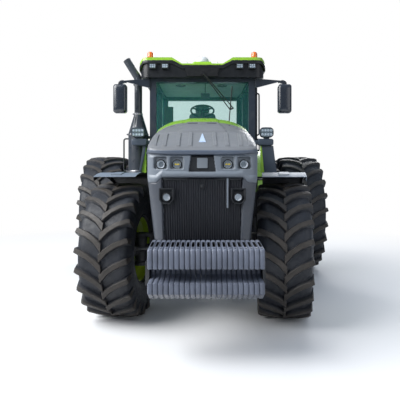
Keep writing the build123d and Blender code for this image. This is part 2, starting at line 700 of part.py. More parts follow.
# the left door, hinged at its rear edge
door_front_y = cab_front_y + 60
door_rear_y = post_start_y - 20
door_x = cab_half_front + 6
door_thick = 34
door_border = 45
door_middle = ((door_front_y + door_rear_y) / 2, (door_low + door_high) / 2)
door_length = door_rear_y - door_front_y
door_tall = door_high - door_low
with BuildPart() as door_frame:
    with BuildSketch(side_plane(door_x)) as border:
        with Locations(door_middle):
            RectangleRounded(door_length, door_tall, 70)
            RectangleRounded(door_length - 2 * door_border, door_tall - 2 * door_border, 45, mode=Mode.SUBTRACT)
    extrude(border.sketch, amount=door_thick)
    # handle
    handle_x = door_x + door_thick
    handle_z = floor_high + 370
    block((handle_x, handle_x + 36), (door_front_y + 10, door_front_y + 35), (handle_z + 160, handle_z + 185))
    block((handle_x, handle_x + 36), (door_front_y + 10, door_front_y + 35), (handle_z, handle_z + 25))
    block((handle_x + 22, handle_x + 36), (door_front_y + 10, door_front_y + 35), (handle_z, handle_z + 185))
    # hinge barrels
    for level in hinge_levels:
        low, high = (door_hinge_x, door_hinge_y, level - barrel_half), (door_hinge_x, door_hinge_y, level + barrel_half)
        rod(low, high, barrel_radius)
        block((door_hinge_x - 18, door_hinge_x - 4), (door_rear_y - 10, door_hinge_y), (low[2], high[2]))
        rod(low, high, door_pin_radius + pin_play, mode=Mode.SUBTRACT)
with BuildPart() as door_glass:
    with BuildSketch(side_plane(door_x + 12)) as pane:
        with Locations(door_middle):
            shrink = 2 * (door_border + seat_gap)
            RectangleRounded(door_length - shrink, door_tall - shrink, 45 - seat_gap)
    extrude(pane.sketch, amount=glass)
write(door_frame.part, "door_frame")
write(door_glass.part, "door_glass")

# rear fenders over the inner dual tyres
rear_fender_outer = inner_dual_x + rear_tyre_width / 2 - 115
with BuildPart() as rear_fenders:
    centre = (rear_axle_y, rear_radius)
    radius = rear_radius + fender_rise
    for side, span in sides(tub_half_rear + seat_gap, rear_fender_outer):
        arc_plate(span, centre, radius, 10, 30, 135)
        lip = sorted((side * rear_fender_outer, side * (rear_fender_outer - 12)))
        arc_plate(lip, centre, radius, 70, 30, 135)
write(rear_fenders.part, "rear_fenders")

# ---------------------------------------------------------------- things on the roof and the front of the cab
lamp_offsets = (200, 374)      # roof edge to the middle of each work lamp
with BuildPart() as work_lamps:
    for offset_x in lamp_offsets:
        for side in (-1, 1):
            middle = side * (roof_half - offset_x)
            for face, outward in ((roof_front_y + 20 - seat_gap, -1), (roof_rear_y - 20 + seat_gap, 1)):
                plane = Plane(origin=(middle, face, cab_top + 115), x_dir=(1, 0, 0), z_dir=(0, outward, 0))
                with BuildSketch(plane) as housing:
                    RectangleRounded(106, 79, 12)
                extrude(housing.sketch, amount=42)
with BuildPart() as beacons:
    for side in (-1, 1):
        spot = (side * (roof_half - 145), cab_front_y + 85)
        rod((*spot, roof_high + seat_gap), (*spot, roof_high + 32), 52)
        rod((*spot, roof_high + 31), (*spot, roof_high + 132), 46)
    chamfer(beacons.edges().group_by(Axis.Z)[-1], 18)
with BuildPart() as gps_receiver:
    base_z = valley_high + seat_gap
    plate(cross_plane(cab_front_y + 190), [(-154, base_z), (154, base_z), (132, base_z + 86), (-132, base_z + 86)], 260)
    rod((0, cab_front_y + 60, base_z + 85), (0, cab_front_y + 60, base_z + 126), 95)
    chamfer(gps_receiver.edges().group_by(Axis.Z)[-1], 20)
with BuildPart() as wiper:
    cover_y = roof_front_y + 20 - seat_gap
    plate(cross_plane(cover_y), [
        (-245, cab_top + 86), (-205, cab_top - 28), (205, cab_top - 28), (235, cab_top + 86),
    ], 37)
    rod((0, roof_front_y - 60, cab_top + 14), (0, roof_front_y, cab_top + 14), 26)
    for shift in (0, 45):
        start = (shift / 2, roof_front_y - 48, cab_top + 14 - shift * 0.3)
        rod(start, (396 + shift, cab_front_y - 22, cab_top - 480 + shift / 2), 7)
    rod((390, cab_front_y - 22, cab_top - 482), (447, cab_front_y - 22, cab_top - 456), 9)
    rod((424, cab_front_y - 8, cab_top - 140), (382, cab_front_y - 8, cab_top - 660), 7.5)
    rod((410, cab_front_y - 24, cab_top - 472), (404, cab_front_y - 4, cab_top - 400), 8)

mirror_y = cab_front_y - 20
mirror_x = cab_half_front + 419
with BuildPart() as mirrors:
    for side in (-1, 1):
        with BuildSketch(cross_plane(mirror_y + 40)) as housing:
            with Locations((side * mirror_x, cab_top - 325)):
                RectangleRounded(190, 408, 35)
        extrude(housing.sketch, amount=75)
        root = side * (cab_half_front + seat_gap)
        plate(cross_plane(mirror_y + 20), [
            (root, cab_top - 170), (root, cab_top - 36), (side * (mirror_x + 6), cab_top - 70),
            (side * (mirror_x + 6), cab_top - 125), (side * (mirror_x - 94), cab_top - 86),
        ], 34)

exhaust_x = -(cab_half_front + 189)
exhaust_y = cab_front_y + 175
muffler_radius = 145
pipe_radius = 56
muffler = [
    # radius, z up the muffler and its cone
    (0, rail_high + 520), (muffler_radius - 20, rail_high + 520), (muffler_radius, rail_high + 540),
    (muffler_radius, cab_top - 806), (pipe_radius + 2, cab_top - 514), (0, cab_top - 514),
]
with BuildPart() as exhaust_stack:
    axis_plane = Plane(origin=(exhaust_x, exhaust_y, 0), x_dir=(1, 0, 0), z_dir=(0, -1, 0))
    with BuildSketch(axis_plane):
        Polygon(*muffler, align=None)
    revolve(axis=Axis((exhaust_x, exhaust_y, 0), (0, 0, 1)))
    elbow_z = cab_top + 5
    tip = (exhaust_x - 170, exhaust_y, cab_top + 280)
    bent_tube([(exhaust_x, exhaust_y, cab_top - 520), (exhaust_x, exhaust_y, elbow_z), tip], 140, pipe_radius)
    for level in (floor_high + 80, belt_low + 40):
        block((exhaust_x + 100, -cab_half_front - seat_gap), (exhaust_y - 30, exhaust_y + 30), (level, level + 40))

pod_front_y = cab_front_y - 80
pod_x = cab_half_front + 30
pod_foot = belt_low - 77
shield_low = floor_high + 55
with BuildPart() as light_pods:
    for side in (-1, 1):
        span_y = (pod_front_y, pod_front_y + 75)
        block((side * pod_x, side * (pod_x + 225)), span_y, (belt_low - 78, belt_low + 32))
        block((side * (pod_x + 27), side * (pod_x + 227)), (pod_front_y - 8, pod_front_y + 60), (belt_low + 31, belt_low + 184))
        block((side * (cab_half_front - 60), side * (pod_x + 75)), (pod_front_y + 30, cab_front_y - seat_gap), (belt_low - 60, belt_low))
    # a strut below the right pod, beside the exhaust, and a shield below the left one, ahead of the door
    for points in (
        [(-pod_x - 15, pod_foot), (-pod_x - 60, pod_foot), (-pod_x - 120, shield_low), (-pod_x - 90, shield_low)],
        [(pod_x + 59, pod_foot), (pod_x + 225, pod_foot), (pod_x + 274, shield_low), (pod_x + 98, shield_low)],
    ):
        plate(cross_plane(pod_front_y + 60), points, 30)

rail_tube = 13
grab_x = cab_half_front + seat_gap
grab_y = cab_front_y + 20
post_out = 1210
exhaust_side = exhaust_x - muffler_radius - seat_gap
with BuildPart() as handrails:
    bent_tube([
        (grab_x, grab_y, cab_top - 240), (grab_x + 60, grab_y, cab_top - 240), (grab_x + 60, grab_y, cab_top - 840),
        (grab_x, grab_y, cab_top - 840),
    ], 30, 11)
    bent_tube([
        (exhaust_side, exhaust_y, belt_high - 20), (exhaust_side - 66, exhaust_y, belt_high - 20),
        (exhaust_side - 66, exhaust_y, floor_high + 90), (exhaust_side, exhaust_y, floor_high + 90),
    ], 30, 11)
    for rail_y in (step_front_y - cheek - rail_tube - seat_gap, step_rear_y + cheek + rail_tube + seat_gap):
        bent_tube([
            (1130, rail_y, 480), (post_out, rail_y, 800), (post_out, rail_y, 1500), (post_out - 200, rail_y, floor_low + 20),
            (cab_half_front + 35, rail_y, floor_low + 20),
        ], 60, rail_tube)

write(work_lamps.part, "work_lamps")
write(beacons.part, "beacons")
write(gps_receiver.part, "gps_receiver")
write(wiper.part, "wiper")
write(mirrors.part, "mirrors")
write(exhaust_stack.part, "exhaust_stack")
write(light_pods.part, "light_pods")
write(handrails.part, "handrails")

# ---------------------------------------------------------------- inside the cab
seat_y = cab_front_y + 690     # front edge of the cushion
cushion_low = floor_high + 400
with BuildPart() as seat:
    block((-180, 180), (seat_y + 60, seat_y + 420), (floor_high + seat_gap, cushion_low))
    with BuildSketch(side_plane(-265)) as cushion:
        Polygon(
            (seat_y, cushion_low), (seat_y + 500, cushion_low), (seat_y + 500, cushion_low + 125),
            (seat_y, cushion_low + 150), align=None,
        )
        fillet(cushion.vertices(), 35)
    extrude(cushion.sketch, amount=530)
    with BuildSketch(side_plane(-250)) as backrest:
        Polygon(
            (seat_y + 415, cushion_low + 90), (seat_y + 530, cushion_low + 90), (seat_y + 560, cushion_low + 710),
            (seat_y + 470, cushion_low + 710), align=None,
        )
        fillet(backrest.vertices(), 40)
    extrude(backrest.sketch, amount=500)
    block((-130, 130), (seat_y + 475, seat_y + 550), (cushion_low + 660, cushion_low + 820))

wheel_y = cab_front_y + 500
wheel_z = floor_high + 1020
wheel_tilt = 20
wheel_plane = Plane(
    origin=(0, wheel_y, wheel_z), x_dir=(1, 0, 0), z_dir=(0, sin(radians(wheel_tilt)), cos(radians(wheel_tilt))),
)
with BuildPart() as steering_wheel:
    with Locations(wheel_plane.location):
        Torus(176, 13)
        Cylinder(42, 40)
        for turn in (0, 120, 240):
            with Locations(Location((0, 0, 0), (0, 0, turn))):
                with Locations((0, 88, 0)):
                    Box(26, 176, 12)
    column_top = wheel_plane.from_local_coords((0, 0, -20))
    rod((0, wheel_y - 180, floor_high + 80), (column_top.X, column_top.Y, column_top.Z + 4), 34)
    block((-110, 110), (wheel_y - 270, wheel_y - 90), (floor_high + seat_gap, floor_high + 310))

console_outer = tub_half_rear - wall - 10
with BuildPart() as side_console:
    block((-console_outer, -400), (seat_y - 220, seat_y + 840), (floor_high + seat_gap, floor_high + 500))
    block((-440, -300), (seat_y - 10, seat_y + 420), (floor_high + 620, floor_high + 680))
    block((-440, -380), (seat_y + 220, seat_y + 320), (floor_high + 490, floor_high + 630))
    rod((30 - console_outer, seat_y + 50, floor_high + 490), (-console_outer, seat_y + 55, floor_high + 880), 16)
    block((-console_outer - 82, 64 - console_outer), (seat_y + 40, seat_y + 70), (floor_high + 810, floor_high + 1120))
    rod((-370, seat_y + 40, floor_high + 670), (-370, seat_y + 20, floor_high + 810), 18)

write(seat.part, "seat")
write(steering_wheel.part, "steering_wheel")
write(side_console.part, "side_console")

# ---------------------------------------------------------------- tilting hood
hood_split_y = front_axle_y - 250
shell_rows = [
    # y, half width, height of the shoulder and of the crest above the hood's lower edge
    (hood_split_y, hood_half - 2, 405, 553), (front_axle_y + 60, hood_half, 485, 638), (cab_front_y - 125, hood_half, 520, 688),
]
nose_rows = [
    (mask_front_y, hood_half - 4, 195, 203), (front_axle_y - 600, hood_half - 2, 340, 415),
    (hood_split_y - seat_gap, hood_half - 2, 405, 553),
]


def arch(row, inset, low):
    """A hood section at a row of a table, drawn inside the outline by the inset, with its foot at low. Its top is nearly
    flat in the middle and drops ever faster towards the shoulders."""
    y, half, shoulder, crest = row
    half, shoulder, crest = half - inset, hood_bottom + shoulder - inset, hood_bottom + crest - inset
    rise = crest - shoulder
    quarter = [(half, shoulder), (0.86 * half, crest - 0.60 * rise), (0.55 * half, crest - 0.13 * rise)]
    with BuildSketch(cross_plane(y)) as section:
        with BuildLine():
            Polyline((-half, shoulder), (-half, low), (half, low), (half, shoulder))
            Spline(*quarter, (0, crest), *[(-x, z) for x, z in quarter[::-1]])
        make_face()
    return section.sketch


def arched_skin(rows, low):
    """A skin lofted over hood sections, open below and at both ends."""
    outer = loft([arch(row, 0, low) for row in rows])
    longer = [(rows[0][0] - 5,) + rows[0][1:]] + rows[1:-1] + [(rows[-1][0] + 5,) + rows[-1][1:]]
    inner = loft([arch(row, hood_wall, low - 5) for row in longer])
    return outer - inner


shell_skin = arched_skin(shell_rows, hood_bottom)
nose_skin = arched_skin(nose_rows, hood_bottom)
ear_x = rail_outer + 5
with BuildPart() as hood_shell:
    add(shell_skin)
    # ears on the hinge pin
    for side, (low, high) in sides(ear_x, ear_x + 12):
        with BuildSketch(side_plane(low)) as ear:
            Polygon(
                (hood_hinge_y - hinge_post_half, hood_hinge_z), (hood_hinge_y + hinge_post_half, hood_hinge_z),
                (hood_hinge_y + hinge_post_half, hood_hinge_z + 98), (hood_hinge_y - 2 * hinge_post_half, hood_hinge_z + 94),
                align=None,
            )
            with Locations((hood_hinge_y, hood_hinge_z)):
                Circle(hinge_post_half)
                Circle(hinge_pin_radius + pin_play, mode=Mode.SUBTRACT)
        extrude(ear.sketch, amount=high - low)
write(hood_shell.part, "hood_shell")
with BuildPart() as hood_nose:
    add(nose_skin)
    block(
        (-hood_half - 30, hood_half + 30), (mask_front_y - 10, mask_rear_y + seat_gap),
        (hood_bottom - 10, mask_top + seat_gap), mode=Mode.SUBTRACT,
    )
    lip = mask_top + seat_gap
    plate(cross_plane(mask_front_y + 25), [(-560, lip), (560, lip), (550, lip + 42), (-550, lip + 42)], 24)
write(hood_nose.part, "hood_nose")

corner_x = 404                 # where the mask's face turns back to its sides
corner_back = 95


def mask_solid(inset, front, low, high):
    """The mask's body: its front outline and its plan with cut corners, both drawn in by the inset."""
    half = mask_half - inset
    with BuildPart() as body:
        plate(cross_plane(mask_rear_y + (1 if inset else 0)), [
            (-half, high), (half, high), (half - 5, hood_bottom - 110), (half - 75, low), (75 - half, low),
            (5 - half, hood_bottom - 110),
        ], mask_rear_y - mask_front_y + 5)
        corner = corner_x - 0.4 * inset
        with BuildSketch(Plane.XY.offset(low)) as plan:
            Polygon(
                (-half, mask_rear_y + 2), (-half, front + corner_back), (-corner, front), (corner, front),
                (half, front + corner_back), (half, mask_rear_y + 2), align=None,
            )
        extrude(plan.sketch, amount=high - low, mode=Mode.INTERSECT)
    return body.part


grille_half = 400
grille_low = mask_low + 32
grille_high = hood_bottom - 86
lamp_middles = (-420, -256, 256, 420)
lamp_middle_z = hood_bottom + 63
lamp_half = 73
low_lamp_x = 360
low_lamp_z = hood_bottom - 270
low_lamp_half = 80
panel_y = mask_front_y - 5
with BuildPart() as nose_mask:
    add(mask_solid(0, mask_front_y, mask_low, mask_top))
    add(mask_solid(20, mask_front_y + 22, mask_low + 20, mask_top - 14), mode=Mode.SUBTRACT)
    for middle in lamp_middles:
        block(
            (middle - lamp_half, middle + lamp_half), (panel_y, mask_front_y + 120),
            (lamp_middle_z - lamp_half + 5, lamp_middle_z + lamp_half - 5), mode=Mode.SUBTRACT,
        )
    block((-grille_half, grille_half), (panel_y, mask_front_y + 40), (grille_low, grille_high), mode=Mode.SUBTRACT)
    for side in (-1, 1):
        block(
            (side * (low_lamp_x - low_lamp_half), side * (low_lamp_x + low_lamp_half)), (panel_y, mask_front_y + 61),
            (low_lamp_z - low_lamp_half, low_lamp_z + low_lamp_half), mode=Mode.SUBTRACT,
        )

rib_pitch = 24
rib_half = 4
with BuildPart() as grille:
    span_z = (grille_low + seat_gap, grille_high - seat_gap)
    block((seat_gap - grille_half, grille_half - seat_gap), (mask_front_y + 14, mask_front_y + 20), span_z)
    for place in range(-16, 17):
        middle = place * rib_pitch
        block((middle - rib_half, middle + rib_half), (mask_front_y + 4, mask_front_y + 15), span_z)
    for side in (-1, 1):
        block(
            (side * (low_lamp_x - low_lamp_half), side * (grille_half + 1)), (mask_front_y, mask_front_y + 30),
            (low_lamp_z - low_lamp_half, low_lamp_z + low_lamp_half), mode=Mode.SUBTRACT,
        )

with BuildPart() as headlamps:
    fit = lamp_half - seat_gap
    for middle in lamp_middles:
        block(
            (middle - fit, middle + fit), (mask_front_y + 60, mask_front_y + 118), (lamp_middle_z - fit + 5, lamp_middle_z + fit - 5),
        )
        rod((middle, mask_front_y + 61, lamp_middle_z - 8), (middle, mask_front_y + 28, lamp_middle_z - 8), 44)
    fit = low_lamp_half - seat_gap
    for side in (-1, 1):
        with BuildSketch(cross_plane(mask_front_y + 60)) as housing:
            with Locations((side * low_lamp_x, low_lamp_z)):
                RectangleRounded(2 * fit, 2 * fit, 14)
        extrude(housing.sketch, amount=72)

write(nose_mask.part, "nose_mask")
write(grille.part, "grille")
write(headlamps.part, "headlamps")

# ---------------------------------------------------------------- rear hitch, drawbar and power take-off
link_y = rear_axle_y + 265
link_z = rear_radius - 390
arm_z = link_z + 800
link_inner_x = 350
link_outer_x = 530
ball_y = rear_axle_y + rear_overhang - 45
ball_z = link_z - 80
attach_length = 420
link_angle = degrees(atan2(ball_z - link_z, ball_y - link_y))
attach_y = link_y + attach_length * cos(radians(link_angle))
attach_z = link_z + attach_length * sin(radians(link_angle))
attach_x = link_inner_x + (link_outer_x - link_inner_x) * (attach_y - link_y) / (ball_y - link_y)
rod_x = attach_x + 56
link_pin_radius = 20
ball_bore = 18.5
arm_pin_radius = 15
slant = (0, -sin(radians(link_angle)), cos(radians(link_angle)))
housing_face = housing_half_width + seat_gap

with BuildPart() as lower_links:
    for side in (-1, 1):
        with BuildSketch(Plane(origin=(0, link_y, link_z), x_dir=(1, 0, 0), z_dir=slant)) as bar:
            Polygon(
                (side * (link_inner_x - 20), 0), (side * (link_inner_x + 20), 0), (side * (link_outer_x + 20), ball_y - link_y),
                (side * (link_outer_x - 20), ball_y - link_y), align=None,
            )
        extrude(bar.sketch, amount=35, both=True)
        inner, outer = side * link_inner_x, side * link_outer_x
        rod((inner - 22, link_y, link_z), (inner + 22, link_y, link_z), 48)
        rod((inner - 32, link_y, link_z), (inner + 32, link_y, link_z), link_pin_radius + pin_play, mode=Mode.SUBTRACT)
        rod((outer - 30, ball_y, ball_z), (outer + 30, ball_y, ball_z), 44)
        rod((outer - 31, ball_y, ball_z), (outer + 31, ball_y, ball_z), ball_bore, mode=Mode.SUBTRACT)
        rod((side * attach_x, attach_y, attach_z), (side * (rod_x + 24), attach_y, attach_z), arm_pin_radius)

arm_pin_z = attach_z + arm_z - link_z
with BuildPart() as lift_arms:
    rod((-380, link_y, arm_z), (380, link_y, arm_z), 40)
    for side in (-1, 1):
        rod((side * 302, link_y, arm_z), (side * 380, link_y, arm_z), 70)
        with BuildSketch(Plane(origin=(0, link_y, arm_z), x_dir=(1, 0, 0), z_dir=slant)) as arm:
            Polygon(
                (side * 320, 0), (side * 375, 0), (side * (rod_x - 22), attach_length), (side * (rod_x - 58), attach_length),
                align=None,
            )
        extrude(arm.sketch, amount=32, both=True)
        rod((side * (rod_x - 58), attach_y, arm_pin_z), (side * (rod_x - 22), attach_y, arm_pin_z), 36)
        rod((side * (rod_x - 40), attach_y, arm_pin_z), (side * (rod_x + 24), attach_y, arm_pin_z), arm_pin_radius)

with BuildPart() as lift_rods:
    for side in (-1, 1):
        rod_mid = side * rod_x
        rod((rod_mid, attach_y, attach_z + 30), (rod_mid, attach_y, arm_pin_z - 30), 14)
        rod((rod_mid, attach_y, attach_z + 120), (rod_mid, attach_y, attach_z + 420), 26)
        for height in (attach_z, arm_pin_z):
            rod((rod_mid - 17, attach_y, height), (rod_mid + 17, attach_y, height), 36)
            rod(
                (rod_mid - 18, attach_y, height), (rod_mid + 18, attach_y, height), arm_pin_radius + pin_play,
                mode=Mode.SUBTRACT,
            )

top_y = housing_rear_y + 40
top_z = rear_radius + 150
top_end_y = rear_axle_y + 1105
top_end_z = top_z - 60
top_pin_radius = 13
top_end_bore = 16
with BuildPart() as top_link:
    start, end = Vector(0, top_y, top_z), Vector(0, top_end_y, top_end_z)
    rod(start, end, 18)
    rod(start + (end - start) * 0.28, start + (end - start) * 0.72, 29)
    for spot, radius in ((start, top_pin_radius + pin_play), (end, top_end_bore)):
        rod((-26, spot.Y, spot.Z), (26, spot.Y, spot.Z), 38)
        rod((-27, spot.Y, spot.Z), (27, spot.Y, spot.Z), radius, mode=Mode.SUBTRACT)

drawbar_y = rear_axle_y + 1015
drawbar_low = 440
drawbar_high = 490
drawbar_bore = 16.5
hanger_y = (housing_rear_y - 170, housing_rear_y - 60)
with BuildPart() as drawbar:
    block((-45, 45), (housing_front_y - 100, drawbar_y), (drawbar_low, drawbar_high))
    rod((0, drawbar_y, drawbar_low), (0, drawbar_y, drawbar_high), 45)
    rod((0, drawbar_y, drawbar_low - 1), (0, drawbar_y, drawbar_high + 1), drawbar_bore, mode=Mode.SUBTRACT)
    block((-130, 130), hanger_y, (drawbar_low - 40, drawbar_low))
    for side in (-1, 1):
        block((side * 90, side * 130), hanger_y, (drawbar_low - 40, rear_radius - 340 - seat_gap))
    block(
        (-80, 80), (housing_front_y - 120, housing_front_y - 60), (drawbar_low - 40, rear_radius - 310 - seat_gap),
    )

pto_z = rear_radius - 250
stub_start_y = housing_rear_y + 25
stub_length = 80
stub_radius = 17.5
with BuildPart() as pto_shaft:
    rod((0, housing_rear_y + seat_gap, pto_z), (0, stub_start_y, pto_z), 42)
    rod((0, stub_start_y - 5, pto_z), (0, stub_start_y + stub_length, pto_z), stub_radius)

with BuildPart() as couplers:
    for side in (-1, 1):
        block((side * 70, side * 230), (housing_rear_y + seat_gap, housing_rear_y + 60), (top_z + 30, top_z + 180))
        for shift in (110, 190):
            for level in (top_z + 70, top_z + 140):
                rod((side * shift, housing_rear_y + 55, level), (side * shift, housing_rear_y + 90, level), 20)

with BuildPart() as hitch_mounts:
    for side in (-1, 1):
        # pins of the lower links on their cheek plates
        rod((side * housing_face, link_y, link_z), (side * (link_inner_x + 30), link_y, link_z), link_pin_radius)
        block(
            (side * housing_face, side * (link_inner_x - 28)), (link_y - 50, housing_rear_y - 1),
            (link_z - 60, rear_radius - 310),
        )
        # ears of the top link
        block((side * 32, side * 52), (housing_rear_y + seat_gap, top_y + 30), (top_z - 60, top_z + 25))
        # bearing blocks of the lift arms' shaft
        block((side * 180, side * 240), (link_y - 80, housing_rear_y), (rear_radius + 340 + seat_gap, arm_z + 70))
        rod((side * 179, link_y, arm_z), (side * 241, link_y, arm_z), 40 + pin_play, mode=Mode.SUBTRACT)
    rod((-52, top_y, top_z), (52, top_y, top_z), top_pin_radius)

write(lower_links.part, "lower_links")
write(lift_arms.part, "lift_arms")
write(lift_rods.part, "lift_rods")
write(top_link.part, "top_link")
write(drawbar.part, "drawbar")
write(pto_shaft.part, "pto_shaft")
write(couplers.part, "couplers")
write(hitch_mounts.part, "hitch_mounts")
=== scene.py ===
"""Looks of the farm tractor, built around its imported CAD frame.

Metres. +X is the tractor's left, -Y is forward, +Z is up. Shapes are grids of points worked out with numpy;
finishes are node materials that read Object coordinates.
"""
import json
import math

import bmesh
import bpy
import numpy as np
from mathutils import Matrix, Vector

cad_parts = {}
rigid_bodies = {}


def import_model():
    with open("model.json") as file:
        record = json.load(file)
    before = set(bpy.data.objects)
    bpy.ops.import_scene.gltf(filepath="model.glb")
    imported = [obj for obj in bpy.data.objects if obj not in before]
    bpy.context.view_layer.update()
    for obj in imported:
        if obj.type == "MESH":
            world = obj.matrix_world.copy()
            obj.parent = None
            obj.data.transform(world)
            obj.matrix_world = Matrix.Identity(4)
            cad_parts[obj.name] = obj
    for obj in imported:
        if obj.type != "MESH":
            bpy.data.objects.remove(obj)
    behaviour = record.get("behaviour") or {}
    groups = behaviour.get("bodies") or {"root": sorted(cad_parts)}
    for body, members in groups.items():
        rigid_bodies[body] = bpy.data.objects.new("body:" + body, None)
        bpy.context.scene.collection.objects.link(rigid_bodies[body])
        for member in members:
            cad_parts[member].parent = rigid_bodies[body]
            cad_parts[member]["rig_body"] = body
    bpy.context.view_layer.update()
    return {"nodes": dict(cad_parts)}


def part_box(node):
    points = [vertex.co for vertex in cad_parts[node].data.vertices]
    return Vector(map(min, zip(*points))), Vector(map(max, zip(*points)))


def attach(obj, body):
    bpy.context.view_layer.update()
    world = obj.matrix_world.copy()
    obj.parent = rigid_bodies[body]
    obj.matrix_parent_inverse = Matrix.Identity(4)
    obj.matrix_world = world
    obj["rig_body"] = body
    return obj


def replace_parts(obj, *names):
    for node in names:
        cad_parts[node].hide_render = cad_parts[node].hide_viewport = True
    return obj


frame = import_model()
nodes = frame["nodes"]
scene = bpy.context.scene


# ------------------------------------------------------------------ main places
FRONT_AXLE_Y = -1.325
REAR_AXLE_Y = 1.725
KINGPIN_X, KINGPIN_OFFSET, STEER_REST = 0.750, 0.233, math.radians(-8.0)
FRONT_RADIUS, REAR_RADIUS = 0.800, 1.030
TWIN_X = (1.000, 1.765)
HANDS = ((1, "left"), (-1, "right"))
AHEAD, REARWARD, UP = (0, -1, 0), (0, 1, 0), (0, 0, 1)


# ------------------------------------------------------------------ mesh makers
def rows_of(items, key):
    """A vector kept by each of a mesh's points or faces, as an (n, 3) array."""
    values = np.empty(len(items) * 3)
    items.foreach_get(key, values)
    return values.reshape(-1, 3)


def smooth_faces(mesh, sharp):
    """Shades a mesh smooth, with its edges over the sharp angle in degrees kept crisp."""
    mesh.polygons.foreach_set("use_smooth", np.ones(len(mesh.polygons), bool))
    mesh.set_sharp_from_angle(angle=math.radians(sharp))


def thicken(thing, wall):
    """Gives a sheet its wall, inwards from its skin."""
    sheet = thing.modifiers.new("sheet", "SOLIDIFY")
    sheet.thickness, sheet.offset = wall, -1.0


def grid_faces(rows, columns, wrap_rows=False, wrap_columns=False, start=0):
    """Quads over a rows by columns grid of points, wrapping round in either direction."""
    i = np.arange(rows if wrap_rows else rows - 1)
    j = np.arange(columns if wrap_columns else columns - 1)
    i, j = np.meshgrid(i, j, indexing="ij")
    i2, j2 = (i + 1) % rows, (j + 1) % columns
    quads = np.stack([i * columns + j, i2 * columns + j, i2 * columns + j2, i * columns + j2], -1)
    return quads.reshape(-1, 4) + start


class Shape:
    """Collects grids of points and their faces, to be made one mesh."""

    def __init__(self):
        self.points, self.faces, self.count = [], [], 0

    def grid(self, points, wrap_rows=False, wrap_columns=False):
        """Adds a (rows, columns, 3) array as a quad surface."""
        rows, columns = points.shape[:2]
        self.points.append(points.reshape(-1, 3))
        self.faces += grid_faces(rows, columns, wrap_rows, wrap_columns, self.count).tolist()
        self.count += rows * columns
        return self

    def loft(self, sections):
        """Adds a closed solid from (stations, around, 3): a closed ring of points at each station, with
        end caps."""
        stations, around = sections.shape[:2]
        base = self.count
        self.grid(sections, wrap_columns=True)
        first = np.arange(base, base + around)
        self.faces += [first.tolist(), (first + (stations - 1) * around)[::-1].tolist()]
        return self

    def make(self, name, body, slot, *finishes, smooth=True, sharp=40.0):
        """One object of all that was added, with its faces pointing out, its edges over the sharp angle
        kept crisp and its finishes in material slots; it rides on the body. Its slot is not used."""
        mesh = bpy.data.meshes.new(name)
        mesh.from_pydata(np.concatenate(self.points).tolist(), [], self.faces)
        mesh.validate()
        if smooth:
            smooth_faces(mesh, sharp)
        mesh.update()
        edit = bmesh.new()
        edit.from_mesh(mesh)
        bmesh.ops.recalc_face_normals(edit, faces=edit.faces)
        edit.to_mesh(mesh)
        edit.free()
        for finish in finishes:
            mesh.materials.append(finish)
        thing = bpy.data.objects.new(name, mesh)
        scene.collection.objects.link(thing)
        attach(thing, body)
        return thing


def axes_frame(normal, up):
    """Right, up and normal unit vectors of a plane facing normal with its upright near up."""
    n = np.asarray(normal, float)
    n = n / np.linalg.norm(n)
    r = np.cross(np.asarray(up, float), n)
    r = r / np.linalg.norm(r)
    return r, np.cross(n, r), n


def rounded_outline(width, height, radius, steps):
    """A rounded rectangle's outline: quarter arcs of the radius at its four corners, counter-clockwise."""
    a = np.linspace(0, math.pi / 2, steps)
    w, h = width / 2 - radius, height / 2 - radius
    quarters = []
    for turn, (sx, sy) in enumerate(((1, 1), (-1, 1), (-1, -1), (1, -1))):
        b = a + turn * math.pi / 2
        quarters.append(np.stack([sx * w + radius * np.cos(b), sy * h + radius * np.sin(b)], -1))
    return np.concatenate(quarters)


def inset_outline(outline, amount):
    """An outline drawn in by an amount: each corner moves along the mitre of its two edges."""
    before, after = np.roll(outline, 1, 0), np.roll(outline, -1, 0)
    e1, e2 = outline - before, after - outline
    e1 = e1 / np.maximum(np.linalg.norm(e1, axis=1, keepdims=True), 1e-9)
    e2 = e2 / np.maximum(np.linalg.norm(e2, axis=1, keepdims=True), 1e-9)
    n1, n2 = np.stack([-e1[:, 1], e1[:, 0]], -1), np.stack([-e2[:, 1], e2[:, 0]], -1)
    mitre = n1 + n2
    mitre = mitre / np.maximum((mitre * mitre).sum(1, keepdims=True), 0.35) * 2
    return outline + mitre * amount


def slab_sections(outline, depth, bevel, steps):
    """Rings of a slab with rounded rims: the outline drawn in by bevel (1 - cos a) at a depth of bevel
    (1 - sin a)."""
    a = np.linspace(0, math.pi / 2, steps + 1)
    rings = [(bevel * (1 - math.cos(t)), bevel * (1 - math.sin(t))) for t in a[::-1]]
    low = [(inset_outline(outline, i), d) for i, d in rings]
    high = [(inset_outline(outline, i), depth - d) for i, d in rings[::-1]]
    return low + high


def slab(shape, outline, origin, normal, up, depth, bevel, steps=3):
    """Adds a slab: an outline in the plane through origin facing normal, carried back along it by depth,
    rims rounded."""
    right, upright, n = axes_frame(normal, up)
    rings = [
        np.asarray(origin, float) + o[:, :1] * right + o[:, 1:] * upright - d * n
        for o, d in slab_sections(np.asarray(outline, float), depth, bevel, steps)
    ]
    return shape.loft(np.array(rings))


def rounded_box(shape, low, high, radius, bevel, axis="y"):
    """Adds a box between two corners with rounded long edges and rims; axis is the direction of its
    depth."""
    low, high = np.minimum(low, high).astype(float), np.maximum(low, high).astype(float)
    middle, size = (low + high) / 2, high - low
    if axis == "y":
        w, h, d, n, u = size[0], size[2], size[1], AHEAD, UP
    elif axis == "x":
        w, h, d, n, u = size[1], size[2], size[0], (1, 0, 0), UP
    else:
        w, h, d, n, u = size[0], size[1], size[2], UP, REARWARD
    origin = middle + np.asarray(n, float) * d / 2
    radius = min(radius, 0.49 * min(w, h))
    bevel = min(bevel, 0.49 * d, 0.45 * min(w, h))
    return slab(shape, rounded_outline(w, h, radius, 5), origin, n, u, d, bevel)


